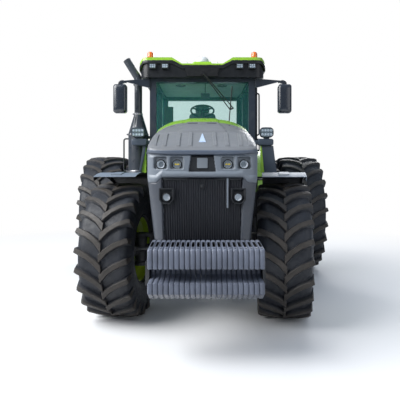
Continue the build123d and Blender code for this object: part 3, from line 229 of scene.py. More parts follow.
def round_outline(radius, steps):
    """A circle's outline."""
    a = np.linspace(0, 2 * math.pi, steps, endpoint=False)
    return np.stack([radius * np.cos(a), radius * np.sin(a)], -1)


def path_frames(path, hint):
    """Side and upright unit vectors along a path, from its tangents and a hint direction."""
    path = np.asarray(path, float)
    tangent = np.gradient(path, axis=0)
    tangent /= np.linalg.norm(tangent, axis=1, keepdims=True)
    hint = np.broadcast_to(np.asarray(hint, float), path.shape)
    side = np.cross(tangent, hint)
    side /= np.maximum(np.linalg.norm(side, axis=1, keepdims=True), 1e-9)
    return side, np.cross(side, tangent)


def tube(shape, path, radius, around, hint):
    """Adds a round bar: a circle of the radius (a number, or one per point) carried along a path."""
    path = np.asarray(path, float)
    side, upright = path_frames(path, hint)
    a = np.linspace(0, 2 * math.pi, around, endpoint=False)
    r = np.broadcast_to(np.asarray(radius, float), (len(path),))[:, None, None]
    ring = np.cos(a)[None, :, None] * side[:, None, :] + np.sin(a)[None, :, None] * upright[:, None, :]
    return shape.loft(path[:, None, :] + r * ring)


def rounded_path(corners, radius, steps):
    """A path through corners, each rounded by a quadratic curve that leaves and joins its runs at the
    radius."""
    corners = np.asarray(corners, float)
    out = [corners[:1]]
    t = np.linspace(0, 1, steps)[:, None]
    for before, here, after in zip(corners[:-2], corners[1:-1], corners[2:]):
        u, v = before - here, after - here
        cut = min(radius, 0.49 * np.linalg.norm(u), 0.49 * np.linalg.norm(v))
        p, q = here + u / np.linalg.norm(u) * cut, here + v / np.linalg.norm(v) * cut
        out.append((1 - t) ** 2 * p + 2 * t * (1 - t) * here + t**2 * q)
    out.append(corners[-1:])
    return np.concatenate(out)


def turned(shape, profile, centre, axis, around, closed=True):
    """Adds a turned piece: (along, radius) points of a profile swept round an axis through centre."""
    profile = np.asarray(profile, float)
    right, upright, n = axes_frame(axis, UP if abs(axis[2]) < 0.9 else REARWARD)
    a = np.linspace(0, 2 * math.pi, around, endpoint=False)
    spoke = np.cos(a)[:, None] * right + np.sin(a)[:, None] * upright
    points = np.asarray(centre, float) + profile[:, None, :1] * n + profile[:, None, 1:] * spoke[None]
    if closed:
        return shape.grid(points, wrap_rows=True, wrap_columns=True)
    return shape.loft(points)


def cad_copy(node, finish, bevel=0.0, sharp=32.0, segments=2, under=None):
    """A merged copy of a CAD node's shape that stands for it, with its flat faces joined, its curved
    facets shaded as one surface and its edges over the sharp angle kept crisp or, where bevel is given,
    rounded. Under is a second finish, with an axle's middle: the faces that look towards it get it."""
    source = nodes[node].data
    loops = np.empty(len(source.loops), np.int32)
    source.loops.foreach_get("vertex_index", loops)
    mesh = bpy.data.meshes.new(node + "_skin")
    mesh.from_pydata(rows_of(source.vertices, "co").tolist(), [], loops.reshape(-1, 3).tolist())
    edit = bmesh.new()
    edit.from_mesh(mesh)
    bmesh.ops.remove_doubles(edit, verts=edit.verts, dist=2e-5)
    bmesh.ops.dissolve_limit(edit, angle_limit=math.radians(0.4), verts=edit.verts, edges=edit.edges)
    edit.to_mesh(mesh)
    edit.free()
    smooth_faces(mesh, sharp)
    thing = bpy.data.objects.new(mesh.name, mesh)
    scene.collection.objects.link(thing)
    mesh.materials.append(finish)
    if under is not None:
        inner, centre = under
        mesh.materials.append(inner)
        spokes = rows_of(mesh.polygons, "center") - np.asarray(centre, float)
        inward = (spokes * rows_of(mesh.polygons, "normal"))[:, 1:].sum(1) < 0
        mesh.polygons.foreach_set("material_index", inward.astype(np.int32))
    if bevel:
        rim = thing.modifiers.new("rounded_edges", "BEVEL")
        rim.width, rim.segments = bevel, segments
        rim.limit_method, rim.angle_limit = "ANGLE", math.radians(sharp)
        weigh = thing.modifiers.new("flat_faces", "WEIGHTED_NORMAL")
        weigh.keep_sharp = True
    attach(thing, nodes[node]["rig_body"])
    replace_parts(thing, node)


def wear(thing, values):
    """Stores on each point of a mesh how worn it is, for a finish to read."""
    layer = thing.data.attributes.new("wear", "FLOAT", "POINT")
    layer.data.foreach_set("value", np.asarray(values, np.float32).ravel())


def smooth_step(value, low, high):
    """0 below low, 1 above high and a smooth cubic between."""
    t = np.clip((np.asarray(value, float) - low) / (high - low), 0.0, 1.0)
    return t * t * (3 - 2 * t)


def curve_through(points, count):
    """A smooth curve through points (Catmull-Rom on chord length), read at count even steps."""
    points = np.asarray(points, float)
    chord = np.concatenate([[0], np.cumsum(np.linalg.norm(np.diff(points, axis=0), axis=1))])
    slope = np.gradient(points, chord, axis=0)
    t = np.linspace(0, chord[-1], count)
    k = np.clip(np.searchsorted(chord, t, side="right") - 1, 0, len(points) - 2)
    span = (chord[k + 1] - chord[k])[:, None]
    u = ((t - chord[k]) / span[:, 0])[:, None]
    return (
        (2 * u**3 - 3 * u**2 + 1) * points[k]
        + (u**3 - 2 * u**2 + u) * span * slope[k]
        + (3 * u**2 - 2 * u**3) * points[k + 1]
        + (u**3 - u**2) * span * slope[k + 1]
    )


# ------------------------------------------------------------------ finishes
class Finish:
    """A node material with short ways to add its nodes: each returns the output it makes, read at Object
    coordinates."""

    def __init__(self, name):
        self.material = bpy.data.materials.new(name)
        self.material.use_nodes = True
        self.tree = self.material.node_tree
        self.tree.nodes.clear()
        self.out = self.tree.nodes.new("ShaderNodeOutputMaterial")
        self.shader = self.tree.nodes.new("ShaderNodeBsdfPrincipled")
        self.link(self.shader.outputs[0], self.out.inputs[0])
        self.place = self.tree.nodes.new("ShaderNodeTexCoord").outputs["Object"]

    def link(self, a, b):
        """Links an output to a socket."""
        self.tree.links.new(a, b)

    def feed(self, value, socket):
        """Links an output to a socket, or sets the socket to a number or colour."""
        if isinstance(value, bpy.types.NodeSocket):
            self.link(value, socket)
        else:
            socket.default_value = value

    def node(self, kind, **inputs):
        """Adds a node with its inputs fed by name."""
        made = self.tree.nodes.new(kind)
        for key, value in inputs.items():
            self.feed(value, made.inputs[key.replace("_", " ")])
        return made

    def set(self, **values):
        """Sets inputs of the main shader by name."""
        for key, value in values.items():
            self.shader.inputs[key.replace("_", " ")].default_value = value

    def noise(self, scale, detail, rough=0.55, stretch=None):
        """Noise of a scale per metre, drawn out along the axes where stretch is given."""
        where = self.place
        if stretch is not None:
            mapped = self.tree.nodes.new("ShaderNodeMapping")
            mapped.inputs["Scale"].default_value = stretch
            self.link(where, mapped.inputs["Vector"])
            where = mapped.outputs[0]
        made = self.node("ShaderNodeTexNoise", Vector=where, Scale=scale, Detail=detail, Roughness=rough)
        return made.outputs["Fac"]

    def band(self, value, low, high, to_low=0.0, to_high=1.0):
        """Carries a value from one range to another, held at its ends."""
        made = self.node("ShaderNodeMapRange", Value=value)
        for key, number in (("From Min", low), ("From Max", high), ("To Min", to_low), ("To Max", to_high)):
            made.inputs[key].default_value = number
        return made.outputs[0]

    def mix(self, fac, a, b):
        """A colour between a and b."""
        made = self.tree.nodes.new("ShaderNodeMix")
        made.data_type = "RGBA"
        self.feed(fac, made.inputs[0])
        for socket, value in ((made.inputs[6], a), (made.inputs[7], b)):
            self.feed((*value, 1.0) if isinstance(value, tuple) else value, socket)
        return made.outputs[2]

    def maths(self, operation, a, b):
        """A sum, product or other operation on two values."""
        made = self.tree.nodes.new("ShaderNodeMath")
        made.operation = operation
        self.feed(a, made.inputs[0])
        self.feed(b, made.inputs[1])
        return made.outputs[0]

    def bump(self, height, strength, distance, normal=None):
        """A normal tilted by a height, over another normal where one is given."""
        made = self.node("ShaderNodeBump", Height=height, Strength=strength, Distance=distance)
        if normal is not None:
            self.link(normal, made.inputs["Normal"])
        return made.outputs[0]

    def edge(self, radius):
        """A normal that looks rounded at edges by the radius."""
        made = self.tree.nodes.new("ShaderNodeBevel")
        made.samples = 4
        made.inputs["Radius"].default_value = radius
        return made.outputs[0]


def linear(colour):
    """An sRGB colour as linear values."""
    c = np.asarray(colour, float)
    return tuple(np.where(c <= 0.04045, c / 12.92, ((c + 0.055) / 1.055) ** 2.4).tolist())


def shade(colour, factor):
    """A colour made darker or lighter by a factor."""
    return tuple(min(1.0, c * factor) for c in colour)


def painted(name, colour, roughness, coat, dust, edge=0.004):
    """Sprayed paint: slow tone drift, a light film of dust from low noise, a clear coat and fine orange
    peel."""
    f = Finish(name)
    base = linear(colour)
    drift = f.band(f.noise(2.2, 3), 0.3, 0.7)
    tone = f.mix(drift, shade(base, 0.93), shade(base, 1.06))
    film = f.band(f.noise(9.0, 6, 0.7), 0.48, 0.78, 0.0, dust)
    tone = f.mix(film, tone, linear((0.56, 0.54, 0.50)))
    f.link(tone, f.shader.inputs["Base Color"])
    uneven = f.band(f.noise(14.0, 5), 0.3, 0.75, roughness * 0.85, roughness * 1.25)
    f.link(uneven, f.shader.inputs["Roughness"])
    f.set(Coat_Weight=coat, Coat_Roughness=0.22)
    normal = f.bump(f.noise(420.0, 2), 0.02, 0.002, f.edge(edge) if edge else None)
    f.link(normal, f.shader.inputs["Normal"])
    return f.material


def moulded(name, colour, roughness=0.55, grain=600.0, depth=0.12):
    """Moulded plastic: a fine cell grain with a little tone drift."""
    f = Finish(name)
    base = linear(colour)
    tone = f.mix(f.band(f.noise(5.0, 4), 0.3, 0.7), shade(base, 0.9), shade(base, 1.12))
    f.link(tone, f.shader.inputs["Base Color"])
    uneven = f.band(f.noise(20.0, 4), 0.3, 0.7, roughness - 0.07, roughness + 0.08)
    f.link(uneven, f.shader.inputs["Roughness"])
    cells = f.node("ShaderNodeTexVoronoi", Vector=f.place, Scale=grain).outputs["Distance"]
    f.link(f.bump(cells, depth, 0.001, f.edge(0.003)), f.shader.inputs["Normal"])
    return f.material


def cast(name, colour, roughness):
    """Painted casting: coarse sand-cast skin with a pale brownish dirt tone on its raised spots."""
    f = Finish(name)
    base = linear(colour)
    skin = f.noise(60.0, 8, 0.7)
    tone = f.mix(f.band(f.noise(6.0, 5), 0.35, 0.7), shade(base, 0.8), shade(base, 1.15))
    tone = f.mix(f.band(skin, 0.55, 0.8, 0.0, 0.25), tone, linear((0.40, 0.37, 0.33)))
    f.link(tone, f.shader.inputs["Base Color"])
    f.link(f.band(skin, 0.3, 0.7, roughness - 0.1, roughness + 0.12), f.shader.inputs["Roughness"])
    f.link(f.bump(skin, 0.25, 0.003, f.edge(0.006)), f.shader.inputs["Normal"])
    return f.material


def rubber(name, base, worn):
    """Tyre rubber: bluish black between the lugs and brownish, dusty and rubbed on their tops, which the
    wear attribute marks, with broad patches of dry dust and a fine grain."""
    f = Finish(name)
    top = f.tree.nodes.new("ShaderNodeAttribute")
    top.attribute_name = "wear"
    top = f.band(top.outputs["Fac"], 0.55, 1.0)
    base, worn = linear(base), linear(worn)
    low = f.mix(f.band(f.noise(3.0, 5), 0.3, 0.72), shade(base, 0.7), shade(base, 1.5))
    high = f.mix(f.band(f.noise(7.0, 6, 0.65), 0.3, 0.72), shade(worn, 0.75), shade(worn, 1.45))
    tone = f.mix(top, low, high)
    tone = f.mix(f.band(f.noise(11.0, 7, 0.7), 0.5, 0.8, 0.0, 0.22), tone, linear((0.40, 0.39, 0.37)))
    f.link(tone, f.shader.inputs["Base Color"])
    f.link(f.band(f.noise(30.0, 5), 0.3, 0.7, 0.42, 0.66), f.shader.inputs["Roughness"])
    f.link(f.bump(f.noise(260.0, 6, 0.65), 0.2, 0.0015, f.edge(0.004)), f.shader.inputs["Normal"])
    return f.material


def window(name, haze, clear, share):
    """Tinted glass: a clear tint that light passes through, and a glossy, hazy share with a faint smear
    in its gloss."""
    f = Finish(name)
    f.set(Base_Color=(*linear(haze), 1.0), IOR=1.5)
    f.link(f.band(f.noise(4.0, 5), 0.4, 0.8, 0.02, 0.08), f.shader.inputs["Roughness"])
    through = f.node("ShaderNodeBsdfTransparent", Color=(*clear, 1.0))
    rim = f.node("ShaderNodeLayerWeight", Blend=0.12).outputs["Fresnel"]
    blend = f.node("ShaderNodeMixShader", Fac=f.band(rim, 0.0, 1.0, share, 0.85))
    f.link(through.outputs[0], blend.inputs[1])
    f.link(f.shader.outputs[0], blend.inputs[2])
    f.link(blend.outputs[0], f.out.inputs[0])
    return f.material


def metal(name, colour, roughness=0.3, edge=0.002):
    """Bare metal with fine machining streaks."""
    f = Finish(name)
    base = linear(colour)
    streak = f.noise(40.0, 4, 0.6, stretch=(1.0, 12.0, 12.0))
    f.link(f.mix(streak, shade(base, 0.85), shade(base, 1.1)), f.shader.inputs["Base Color"])
    f.set(Metallic=1.0)
    f.link(f.band(streak, 0.3, 0.7, roughness * 0.7, roughness * 1.4), f.shader.inputs["Roughness"])
    if edge:
        f.link(f.edge(edge), f.shader.inputs["Normal"])
    return f.material


def lamp_cover(name, colour):
    """A lamp lens or tinted cover: smooth, clear-coated plastic over a bright back."""
    f = Finish(name)
    base = linear(colour)
    f.link(f.mix(f.noise(12.0, 3), shade(base, 0.82), shade(base, 1.12)), f.shader.inputs["Base Color"])
    f.set(Roughness=0.12, Coat_Weight=1.0, Coat_Roughness=0.03, Specular_IOR_Level=0.7)
    return f.material


def cloth(name, colour):
    """Woven seat cloth: threads as bump, matte with a soft sheen."""
    f = Finish(name)
    base = linear(colour)
    warp = f.node("ShaderNodeTexWave", Vector=f.place, Scale=150.0).outputs["Fac"]
    f.link(f.mix(f.noise(60.0, 5), shade(base, 0.75), shade(base, 1.25)), f.shader.inputs["Base Color"])
    f.set(Roughness=0.85, Sheen_Weight=0.3)
    f.link(f.bump(f.maths("ADD", warp, f.noise(900.0, 2)), 0.3, 0.001), f.shader.inputs["Normal"])
    return f.material


GREEN = painted("body_green", (0.61, 0.81, 0.20), 0.28, 0.8, 0.05)
GREY_NOSE = painted("nose_grey", (0.465, 0.475, 0.49), 0.40, 0.35, 0.16)
GREY_MASK = painted("mask_grey", (0.49, 0.525, 0.565), 0.44, 0.4, 0.08)
# painted light: the lamps' recess floors get a grey lighter than the mask's, to make up for the shade the
# recesses fall in
RECESS_PAINTED_LIGHT = painted("recess_grey_painted_light", (0.52, 0.55, 0.58), 0.45, 0.2, 0.08)
WEIGHT_GREY = cast("weight_grey", (0.43, 0.455, 0.515), 0.36)
FRAME_BLACK = painted("frame_black", (0.12, 0.135, 0.16), 0.5, 0.2, 0.2)
CASTING_BLACK = cast("casting_black", (0.12, 0.13, 0.15), 0.6)
ENGINE_GREY = cast("engine_grey", (0.20, 0.21, 0.22), 0.6)
TYRE_RUBBER = rubber("tyre_rubber", (0.11, 0.125, 0.155), (0.215, 0.198, 0.182))
RIM_YELLOW = painted("rim_yellow_green", (0.72, 0.82, 0.20), 0.35, 0.5, 0.12)
HUB_GREEN = painted("hub_green", (0.42, 0.60, 0.18), 0.4, 0.4, 0.15)
BLACK_PLASTIC = moulded("black_plastic", (0.085, 0.10, 0.12))
VISOR_PLASTIC = moulded("visor_plastic", (0.03, 0.045, 0.068), 0.38)
TANK_PLASTIC = moulded("tank_plastic", (0.10, 0.105, 0.115), 0.5, 300.0)
CONSOLE_GREY = moulded("console_grey", (0.12, 0.135, 0.15), 0.6)
CAB_PAINT = painted("cab_paint", (0.10, 0.145, 0.205), 0.42, 0.35, 0.1)
GLASS = window("tinted_glass", (0.30, 0.62, 0.60), (0.93, 0.99, 0.985), 0.11)
LENS = lamp_cover("lamp_lens", (0.80, 0.84, 0.88))
REFLECTOR = metal("lamp_reflector", (0.93, 0.95, 0.97), 0.30, 0.0)
CLEAR_LENS = window("clear_lens", (0.75, 0.85, 0.90), (0.98, 0.99, 1.0), 0.06)
EXHAUST_BLACK = painted("exhaust_black", (0.19, 0.215, 0.25), 0.30, 0.5, 0.12)
POD_GREY = moulded("pod_grey", (0.26, 0.30, 0.355), 0.38)
MIRROR_BLACK = painted("mirror_black", (0.095, 0.13, 0.18), 0.24, 0.8, 0.02)
FENDER_TOP = moulded("fender_plastic", (0.44, 0.485, 0.54), 0.45)
WIPER_BLACK = moulded("wiper_black", (0.045, 0.05, 0.06), 0.4)
HEADLINER = moulded("headliner_grey", (0.86, 0.92, 0.90), 0.8, 300.0, 0.2)
RUBBER_TRIM = moulded("rubber_trim", (0.07, 0.075, 0.085), 0.8, 300.0, 0.3)
SCREEN = moulded("screen_black", (0.03, 0.05, 0.07), 0.12, 30.0, 0.0)
LIP_GREY = painted("lip_grey", (0.36, 0.405, 0.47), 0.36, 0.4, 0.08)
MASK_CORNER = painted("mask_corner_grey", (0.29, 0.31, 0.345), 0.42, 0.3, 0.10)
LAMP_YELLOW = lamp_cover("lamp_yellow", (0.98, 0.84, 0.18))
WEDGE_SILVER = painted("wedge_silver", (0.74, 0.82, 0.92), 0.30, 0.6, 0.02)
# painted reflection: the front lamps' bowls are near-white, non-metal paint that stands in for a chrome
# reflector's bright reflection
BOWL_PAINTED_REFLECTION = painted("bowl_painted_reflection", (0.88, 0.90, 0.92), 0.22, 0.8, 0.0, 0.0)
LAMP_BACK = painted("lamp_back", (0.40, 0.43, 0.46), 0.35, 0.4, 0.0)
# painted shade: the weights' grip slots are lined near-black, standing in for the shade inside them
SLOT_PAINTED_SHADE = cast("slot_painted_shade", (0.06, 0.065, 0.075), 0.8)
BADGE_GREY = painted("badge_grey", (0.52, 0.55, 0.58), 0.32, 0.5, 0.02)
AMBER = lamp_cover("amber_cover", (0.95, 0.45, 0.06))
RECEIVER_GREY = moulded("receiver_grey", (0.88, 0.90, 0.91), 0.45)
STEEL_BLACK = painted("black_steel", (0.09, 0.105, 0.13), 0.4, 0.3, 0.12)
BARE_STEEL = metal("machined_steel", (0.62, 0.62, 0.63))
SEAT_CLOTH = cloth("seat_cloth", (0.40, 0.43, 0.44))
MESH_BLACK = moulded("grille_black", (0.075, 0.09, 0.125), 0.5, 200.0, 0.3)
RADIATOR = moulded("radiator_core", (0.08, 0.08, 0.09), 0.7, 120.0, 0.5)


# ------------------------------------------------------------------ tyres and wheels
def wheel_points(points, centre, turn):
    """Points given in a wheel's own frame (across, rearward, up), turned about the upright and set at
    its middle."""
    c, s = math.cos(turn), math.sin(turn)
    x, y, z = points[..., 0], points[..., 1], points[..., 2]
    return np.stack([centre[0] + c * x - s * y, centre[1] + s * x + c * y, centre[2] + z], -1)


def carcass_outline(width, rim, tread):
    """The tyre's section as (across, radius): a curve through the crown, the rounded shoulder, the
    bulging flank with its two fine ribs and the rim guard, mirrored, then closed along the rim."""
    h = tread - rim
    crown = [(0.0, tread + 0.006), (0.22, tread + 0.003), (0.37, tread - 0.006), (0.435, tread - 0.028)]
    flank = [(0.472, 0.80), (0.494, 0.62), (0.500, 0.48), (0.492, 0.32), (0.470, 0.19), (0.446, 0.10)]
    half = curve_through(np.array(crown + [(x, rim + k * h) for x, k in flank]) * (width, 1), 44)
    ribs = 0.0025 * sum(np.exp(-(((half[:, 1] - rim - k * h) / 0.006) ** 2)) for k in (0.30, 0.50, 0.66))
    half[:, 0] += ribs * (half[:, 1] < tread - 0.06)
    guard = [(0.452, rim + 0.075 * h), (0.452, rim + 0.055 * h), (0.436, rim + 0.035 * h)]
    guard = np.array(guard + [(0.418, rim + 0.012), (0.400, rim + 0.001)]) * (width, 1)
    side = np.concatenate([half, guard])
    return np.concatenate([side, (side * (-1, 1))[:0:-1]])


def lug_blocks(width, rim, radius, height, count, lug_width, sweep):
    """Every lug of a tyre as (lug, station, ring, 3): a bar that leaves the middle steeply, bends along
    a quadratic curve towards the shoulder and steps down the flank; its section is a trapezoid with
    worn, rounded top edges."""
    half, tread = 0.49 * width, radius - height
    start, end = np.array([-0.012, -sweep / 2 - 0.012]), np.array([half, sweep / 2])
    knee = np.array([0.40 * half, 0.08 * sweep])
    control = 2 * knee - (start + end) / 2
    # stations: 0 past the middle, 1 to 4 across the tread, 5 at the shoulder, 6 and 7 down the flank
    t = np.array([-0.012, 0.0, 0.30, 0.62, 0.93, 1.0, 1.03, 1.045])
    u = np.clip(t, 0, 1)[:, None]
    line = (1 - u) ** 2 * start + 2 * u * (1 - u) * control + u**2 * end
    lean = 2 * (1 - u) * (control - start) + 2 * u * (end - control)
    lean /= np.linalg.norm(lean, axis=1, keepdims=True)
    line = line + lean * (t - np.clip(t, 0, 1))[:, None] * sweep * 1.4
    across = np.stack([-lean[:, 1], lean[:, 0]], -1)
    across[:2] = [(0.0, 1 / lean[0, 0])] * 2
    x = np.abs(line[:, 0])
    crown = radius - 0.026 * radius * np.clip((x - 0.20 * width) / (0.285 * width), 0, 1) ** 1.6
    h = tread - rim
    crown[0] -= 0.010
    crown[5] -= 0.012
    crown[6], crown[7] = rim + 0.86 * h, rim + 0.71 * h
    line[6, 0], line[7, 0] = 0.494 * width, 0.503 * width
    foot = np.where(x < 0.42 * width, tread - 0.012, tread - 0.055)
    foot[5], foot[6], foot[7] = rim + 0.70 * h, rim + 0.68 * h, rim + 0.67 * h
    w = lug_width / 2
    section = [(-w - 0.011, 0.0), (-w - 0.002, 0.80), (-w + 0.007, 1.0)]
    section = np.array(section + [(-x, y) for x, y in section[::-1]])
    off = section[None, :, 0] * np.array([1, 1, 1, 1, 1.02, 1.03, 1.03, 0.95])[:, None]
    r = foot[:, None] + (crown - foot)[:, None] * section[None, :, 1]
    flat = line[:, None, :] + off[..., None] * across[:, None, :]
    flat[6:, :, 0] = line[6:, None, 0]
    blocks = []
    for side, phase in ((1, 0.0), (-1, 0.5)):
        angle = (np.arange(count) + phase) * 2 * math.pi / count
        phi = angle[:, None, None] + (flat[..., 1] / radius)[None]
        x_all = np.broadcast_to(side * flat[..., 0], phi.shape)
        blocks.append(np.stack([x_all, r * np.sin(phi), r * np.cos(phi)], -1))
    return np.concatenate(blocks)


def tyre(name, node, middles, radius, width, rim, height, count, lug_width, sweep, turn=0.0):
    """A lugged tractor tyre, or two beside each other on one axle: the carcass is its outline turned
    about the axle."""
    shape = Shape()
    around = 110
    outline = carcass_outline(width, rim, radius - height)
    a = np.linspace(0, 2 * math.pi, around, endpoint=False)
    across, reach = outline[:, :1] + 0 * a, outline[:, 1:]
    carcass = np.stack([across, reach * np.sin(a), reach * np.cos(a)], -1)
    blocks = lug_blocks(width, rim, radius, height, count, lug_width, sweep)
    lug_wear = np.tile([0.0, 0.75, 1.0, 1.0, 0.75, 0.0], blocks.shape[1])
    values = []
    for middle in middles:
        shape.grid(wheel_points(carcass, middle, turn), wrap_rows=True, wrap_columns=True)
        values.append(np.zeros(carcass.shape[0] * around))
        for block in blocks:
            shape.loft(wheel_points(block, middle, turn))
        values.append(np.tile(lug_wear, len(blocks)))
    thing = shape.make(name, nodes[node]["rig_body"], "tyre", TYRE_RUBBER, sharp=38.0)
    wear(thing, np.concatenate(values))
    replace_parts(thing, node)
    return thing


def front_middle(side):
    """The middle of a front wheel at its resting steer."""
    c, s = math.cos(STEER_REST), math.sin(STEER_REST)
    return (side * (KINGPIN_X + c * KINGPIN_OFFSET), FRONT_AXLE_Y + side * s * KINGPIN_OFFSET, FRONT_RADIUS)


def nut_ring(shape, middle, turn, x, circle, count, size, facing):
    """Adds a circle of wheel nuts: each a hexagon prism with a domed end, standing on the disc at x."""
    a = (np.arange(count) + 0.5) * 2 * math.pi / count
    hexagon = np.arange(6) * math.pi / 3
    rows = np.array([(0.0, 1.0), (0.72, 1.0), (0.86, 0.88), (1.0, 0.55)])
    for angle in a:
        ring = np.stack(
            [
                np.broadcast_to(x + facing * rows[:, :1] * size * 0.9, (4, 6)),
                circle * math.sin(angle) + rows[:, 1:] * size * 0.5 * np.cos(hexagon),
                circle * math.cos(angle) + rows[:, 1:] * size * 0.5 * np.sin(hexagon),
            ],
            -1,
        )
        shape.loft(wheel_points(ring, middle, turn))


for side, hand in HANDS:
    tyre(f"front_tyre_lugged_{hand}", f"front_tyre_{hand}", [front_middle(side)], FRONT_RADIUS, width=0.600,
         rim=0.385, height=0.048, count=22, lug_width=0.062, sweep=0.190, turn=STEER_REST)
    rears = [(side * x, REAR_AXLE_Y, REAR_RADIUS) for x in TWIN_X]
    tyre(f"rear_tyres_lugged_{hand}", f"rear_tyres_{hand}", rears, REAR_RADIUS, width=0.700, rim=0.540,
         height=0.048, count=24, lug_width=0.068, sweep=0.225)
    for wheel in ("front_rim", "rear_rims"):
        cad_copy(f"{wheel}_{hand}", RIM_YELLOW, sharp=28)
    for wheel in ("front_hub", "rear_hub"):
        cad_copy(f"{wheel}_{hand}", HUB_GREEN, sharp=28)


# ------------------------------------------------------------------ hood, nose and mask
MASK_FRONT, CORNER_DEPTH = -2.330, 0.180
LAMP_X = (0.256, 0.420)
hood_rows = np.array([
    # y, half width, shoulder height, crest height
    (-2.330, 0.566, 1.945, 1.953), (-2.130, 0.567, 2.030, 2.066), (-1.925, 0.568, 2.090, 2.165),
    (-1.750, 0.568, 2.127, 2.240), (-1.575, 0.568, 2.155, 2.303), (-1.420, 0.569, 2.198, 2.350),
    (-1.265, 0.570, 2.235, 2.388), (-0.870, 0.570, 2.262, 2.424), (-0.475, 0.570, 2.270, 2.438),
])


def hood_size(y):
    """Half width, shoulder height and crest height of the hood at a place along it."""
    return [np.interp(y, hood_rows[:, 0], hood_rows[:, k]) for k in (1, 2, 3)]


def crown_height(x, y):
    """Height of the hood's top at (x, y): nearly flat in the middle, dropping as the 3.4th power of the
    offset to the shoulders, its corners rounded by a quarter circle."""
    corner = 0.045
    half, shoulder, crest = hood_size(y)
    arc = crest - (crest - shoulder) * np.abs(x / half) ** 3.4
    over = np.clip((np.abs(x) - (half - corner)) / corner, 0, 1)
    return arc - corner * (1 - np.sqrt(np.maximum(1 - over**2, 0)))


def corner_back(x, half):
    """How far the nose's front falls back at x: a quarter of a rounded square, flat ahead and upright at
    the sides."""
    t = np.clip(np.abs(x) / half, 0, 1)
    return CORNER_DEPTH * (1 - np.maximum(1 - t**4, 0) ** 0.25)


def box_distance(x, z, cx, cz, w, h, r):
    """Signed distance to a rounded rectangle's outline, below zero inside."""
    qx, qz = np.abs(x - cx) - (w / 2 - r), np.abs(z - cz) - (h / 2 - r)
    return np.hypot(np.maximum(qx, 0), np.maximum(qz, 0)) + np.minimum(np.maximum(qx, qz), 0) - r


def hood_columns(flat, corner, side):
    """Across places of the hood's skin from the left's lower edge over the top to the right's: (offset,
    is it on the side, share down the side). The offset is a share of the half width."""
    top = np.linspace(-0.85, 0.85, 2 * flat + 1)
    theta = np.linspace(0, math.pi / 2, corner + 1)[1:]
    bend = 0.85 + 0.15 * np.sin(theta)
    offsets = np.concatenate([-np.ones(side), -bend[::-1], top, bend, np.ones(side)])
    falling = np.linspace(1 / side, 1, side)
    return offsets, np.concatenate([falling[::-1], np.zeros(2 * corner + 2 * flat + 1), falling])


def nose_relief(x, y, along):
    """Height of the nose's forms over its skin: the raised rear panels with their slanted outline and
    the crease behind the lip."""
    across = np.abs(x)
    rear = -1.935 + 0.060 * smooth_step(across, 0.30, 0.52)
    height = 0.006 * smooth_step(y - rear, -0.006, 0.010)
    slope = 0.190 + 0.24 * (-1.575 - y)
    height += 0.009 * smooth_step(slope - across, 0, 0.018) * smooth_step(y + 1.945, 0, 0.020)
    height -= 0.006 * np.exp(-(((along - 0.040) / 0.008) ** 2))
    return height


def nose_ribs():
    """Eight crisp ribs pressed up out of the nose between its lip and its rear panels."""
    section = [(-0.0225, -0.004), (-0.0195, 0.0100), (-0.0165, 0.0120)]
    section = np.array(section + [(-x, z) for x, z in section[::-1]])
    ribs = Shape()
    for place in (0.126, 0.250, 0.390, 0.492):
        for side in (-1, 1):
            start = MASK_FRONT - 0.010 + float(corner_back(np.array([place]), 0.567)[0]) * 0.98 + 0.052
            end = -1.948 + 0.060 * float(smooth_step(np.array([place]), 0.30, 0.52)[0])
            y = np.linspace(start, end, 26)
            rise = np.clip(np.minimum(y - start, end - y) / 0.010, 0, 1)[:, None]
            x = side * place + section[:, 0]
            z = crown_height(x[None, :] + 0 * y[:, None], y[:, None] + 0 * x[None, :])
            height = -0.004 + (section[:, 1] + 0.004)[None, :] * rise
            ribs.loft(np.stack([x[None, :] + 0 * z, y[:, None] + 0 * z, z + height], -1))
    ribs.make("nose_ribs", "hood", "nose", GREY_NOSE, sharp=25.0)


def slot_mask(x, y):
    """1 inside the four dark intake slots across the nose's rear panels."""
    across = np.abs(x)
    inner = box_distance(across, y, 0.108, -1.635, 0.135, 0.040, 0.010)
    outer = box_distance(across, y + 0.22 * (across - 0.40), 0.400, -1.650, 0.185, 0.040, 0.010)
    return smooth_step(-np.minimum(inner, outer), -0.002, 0.003)


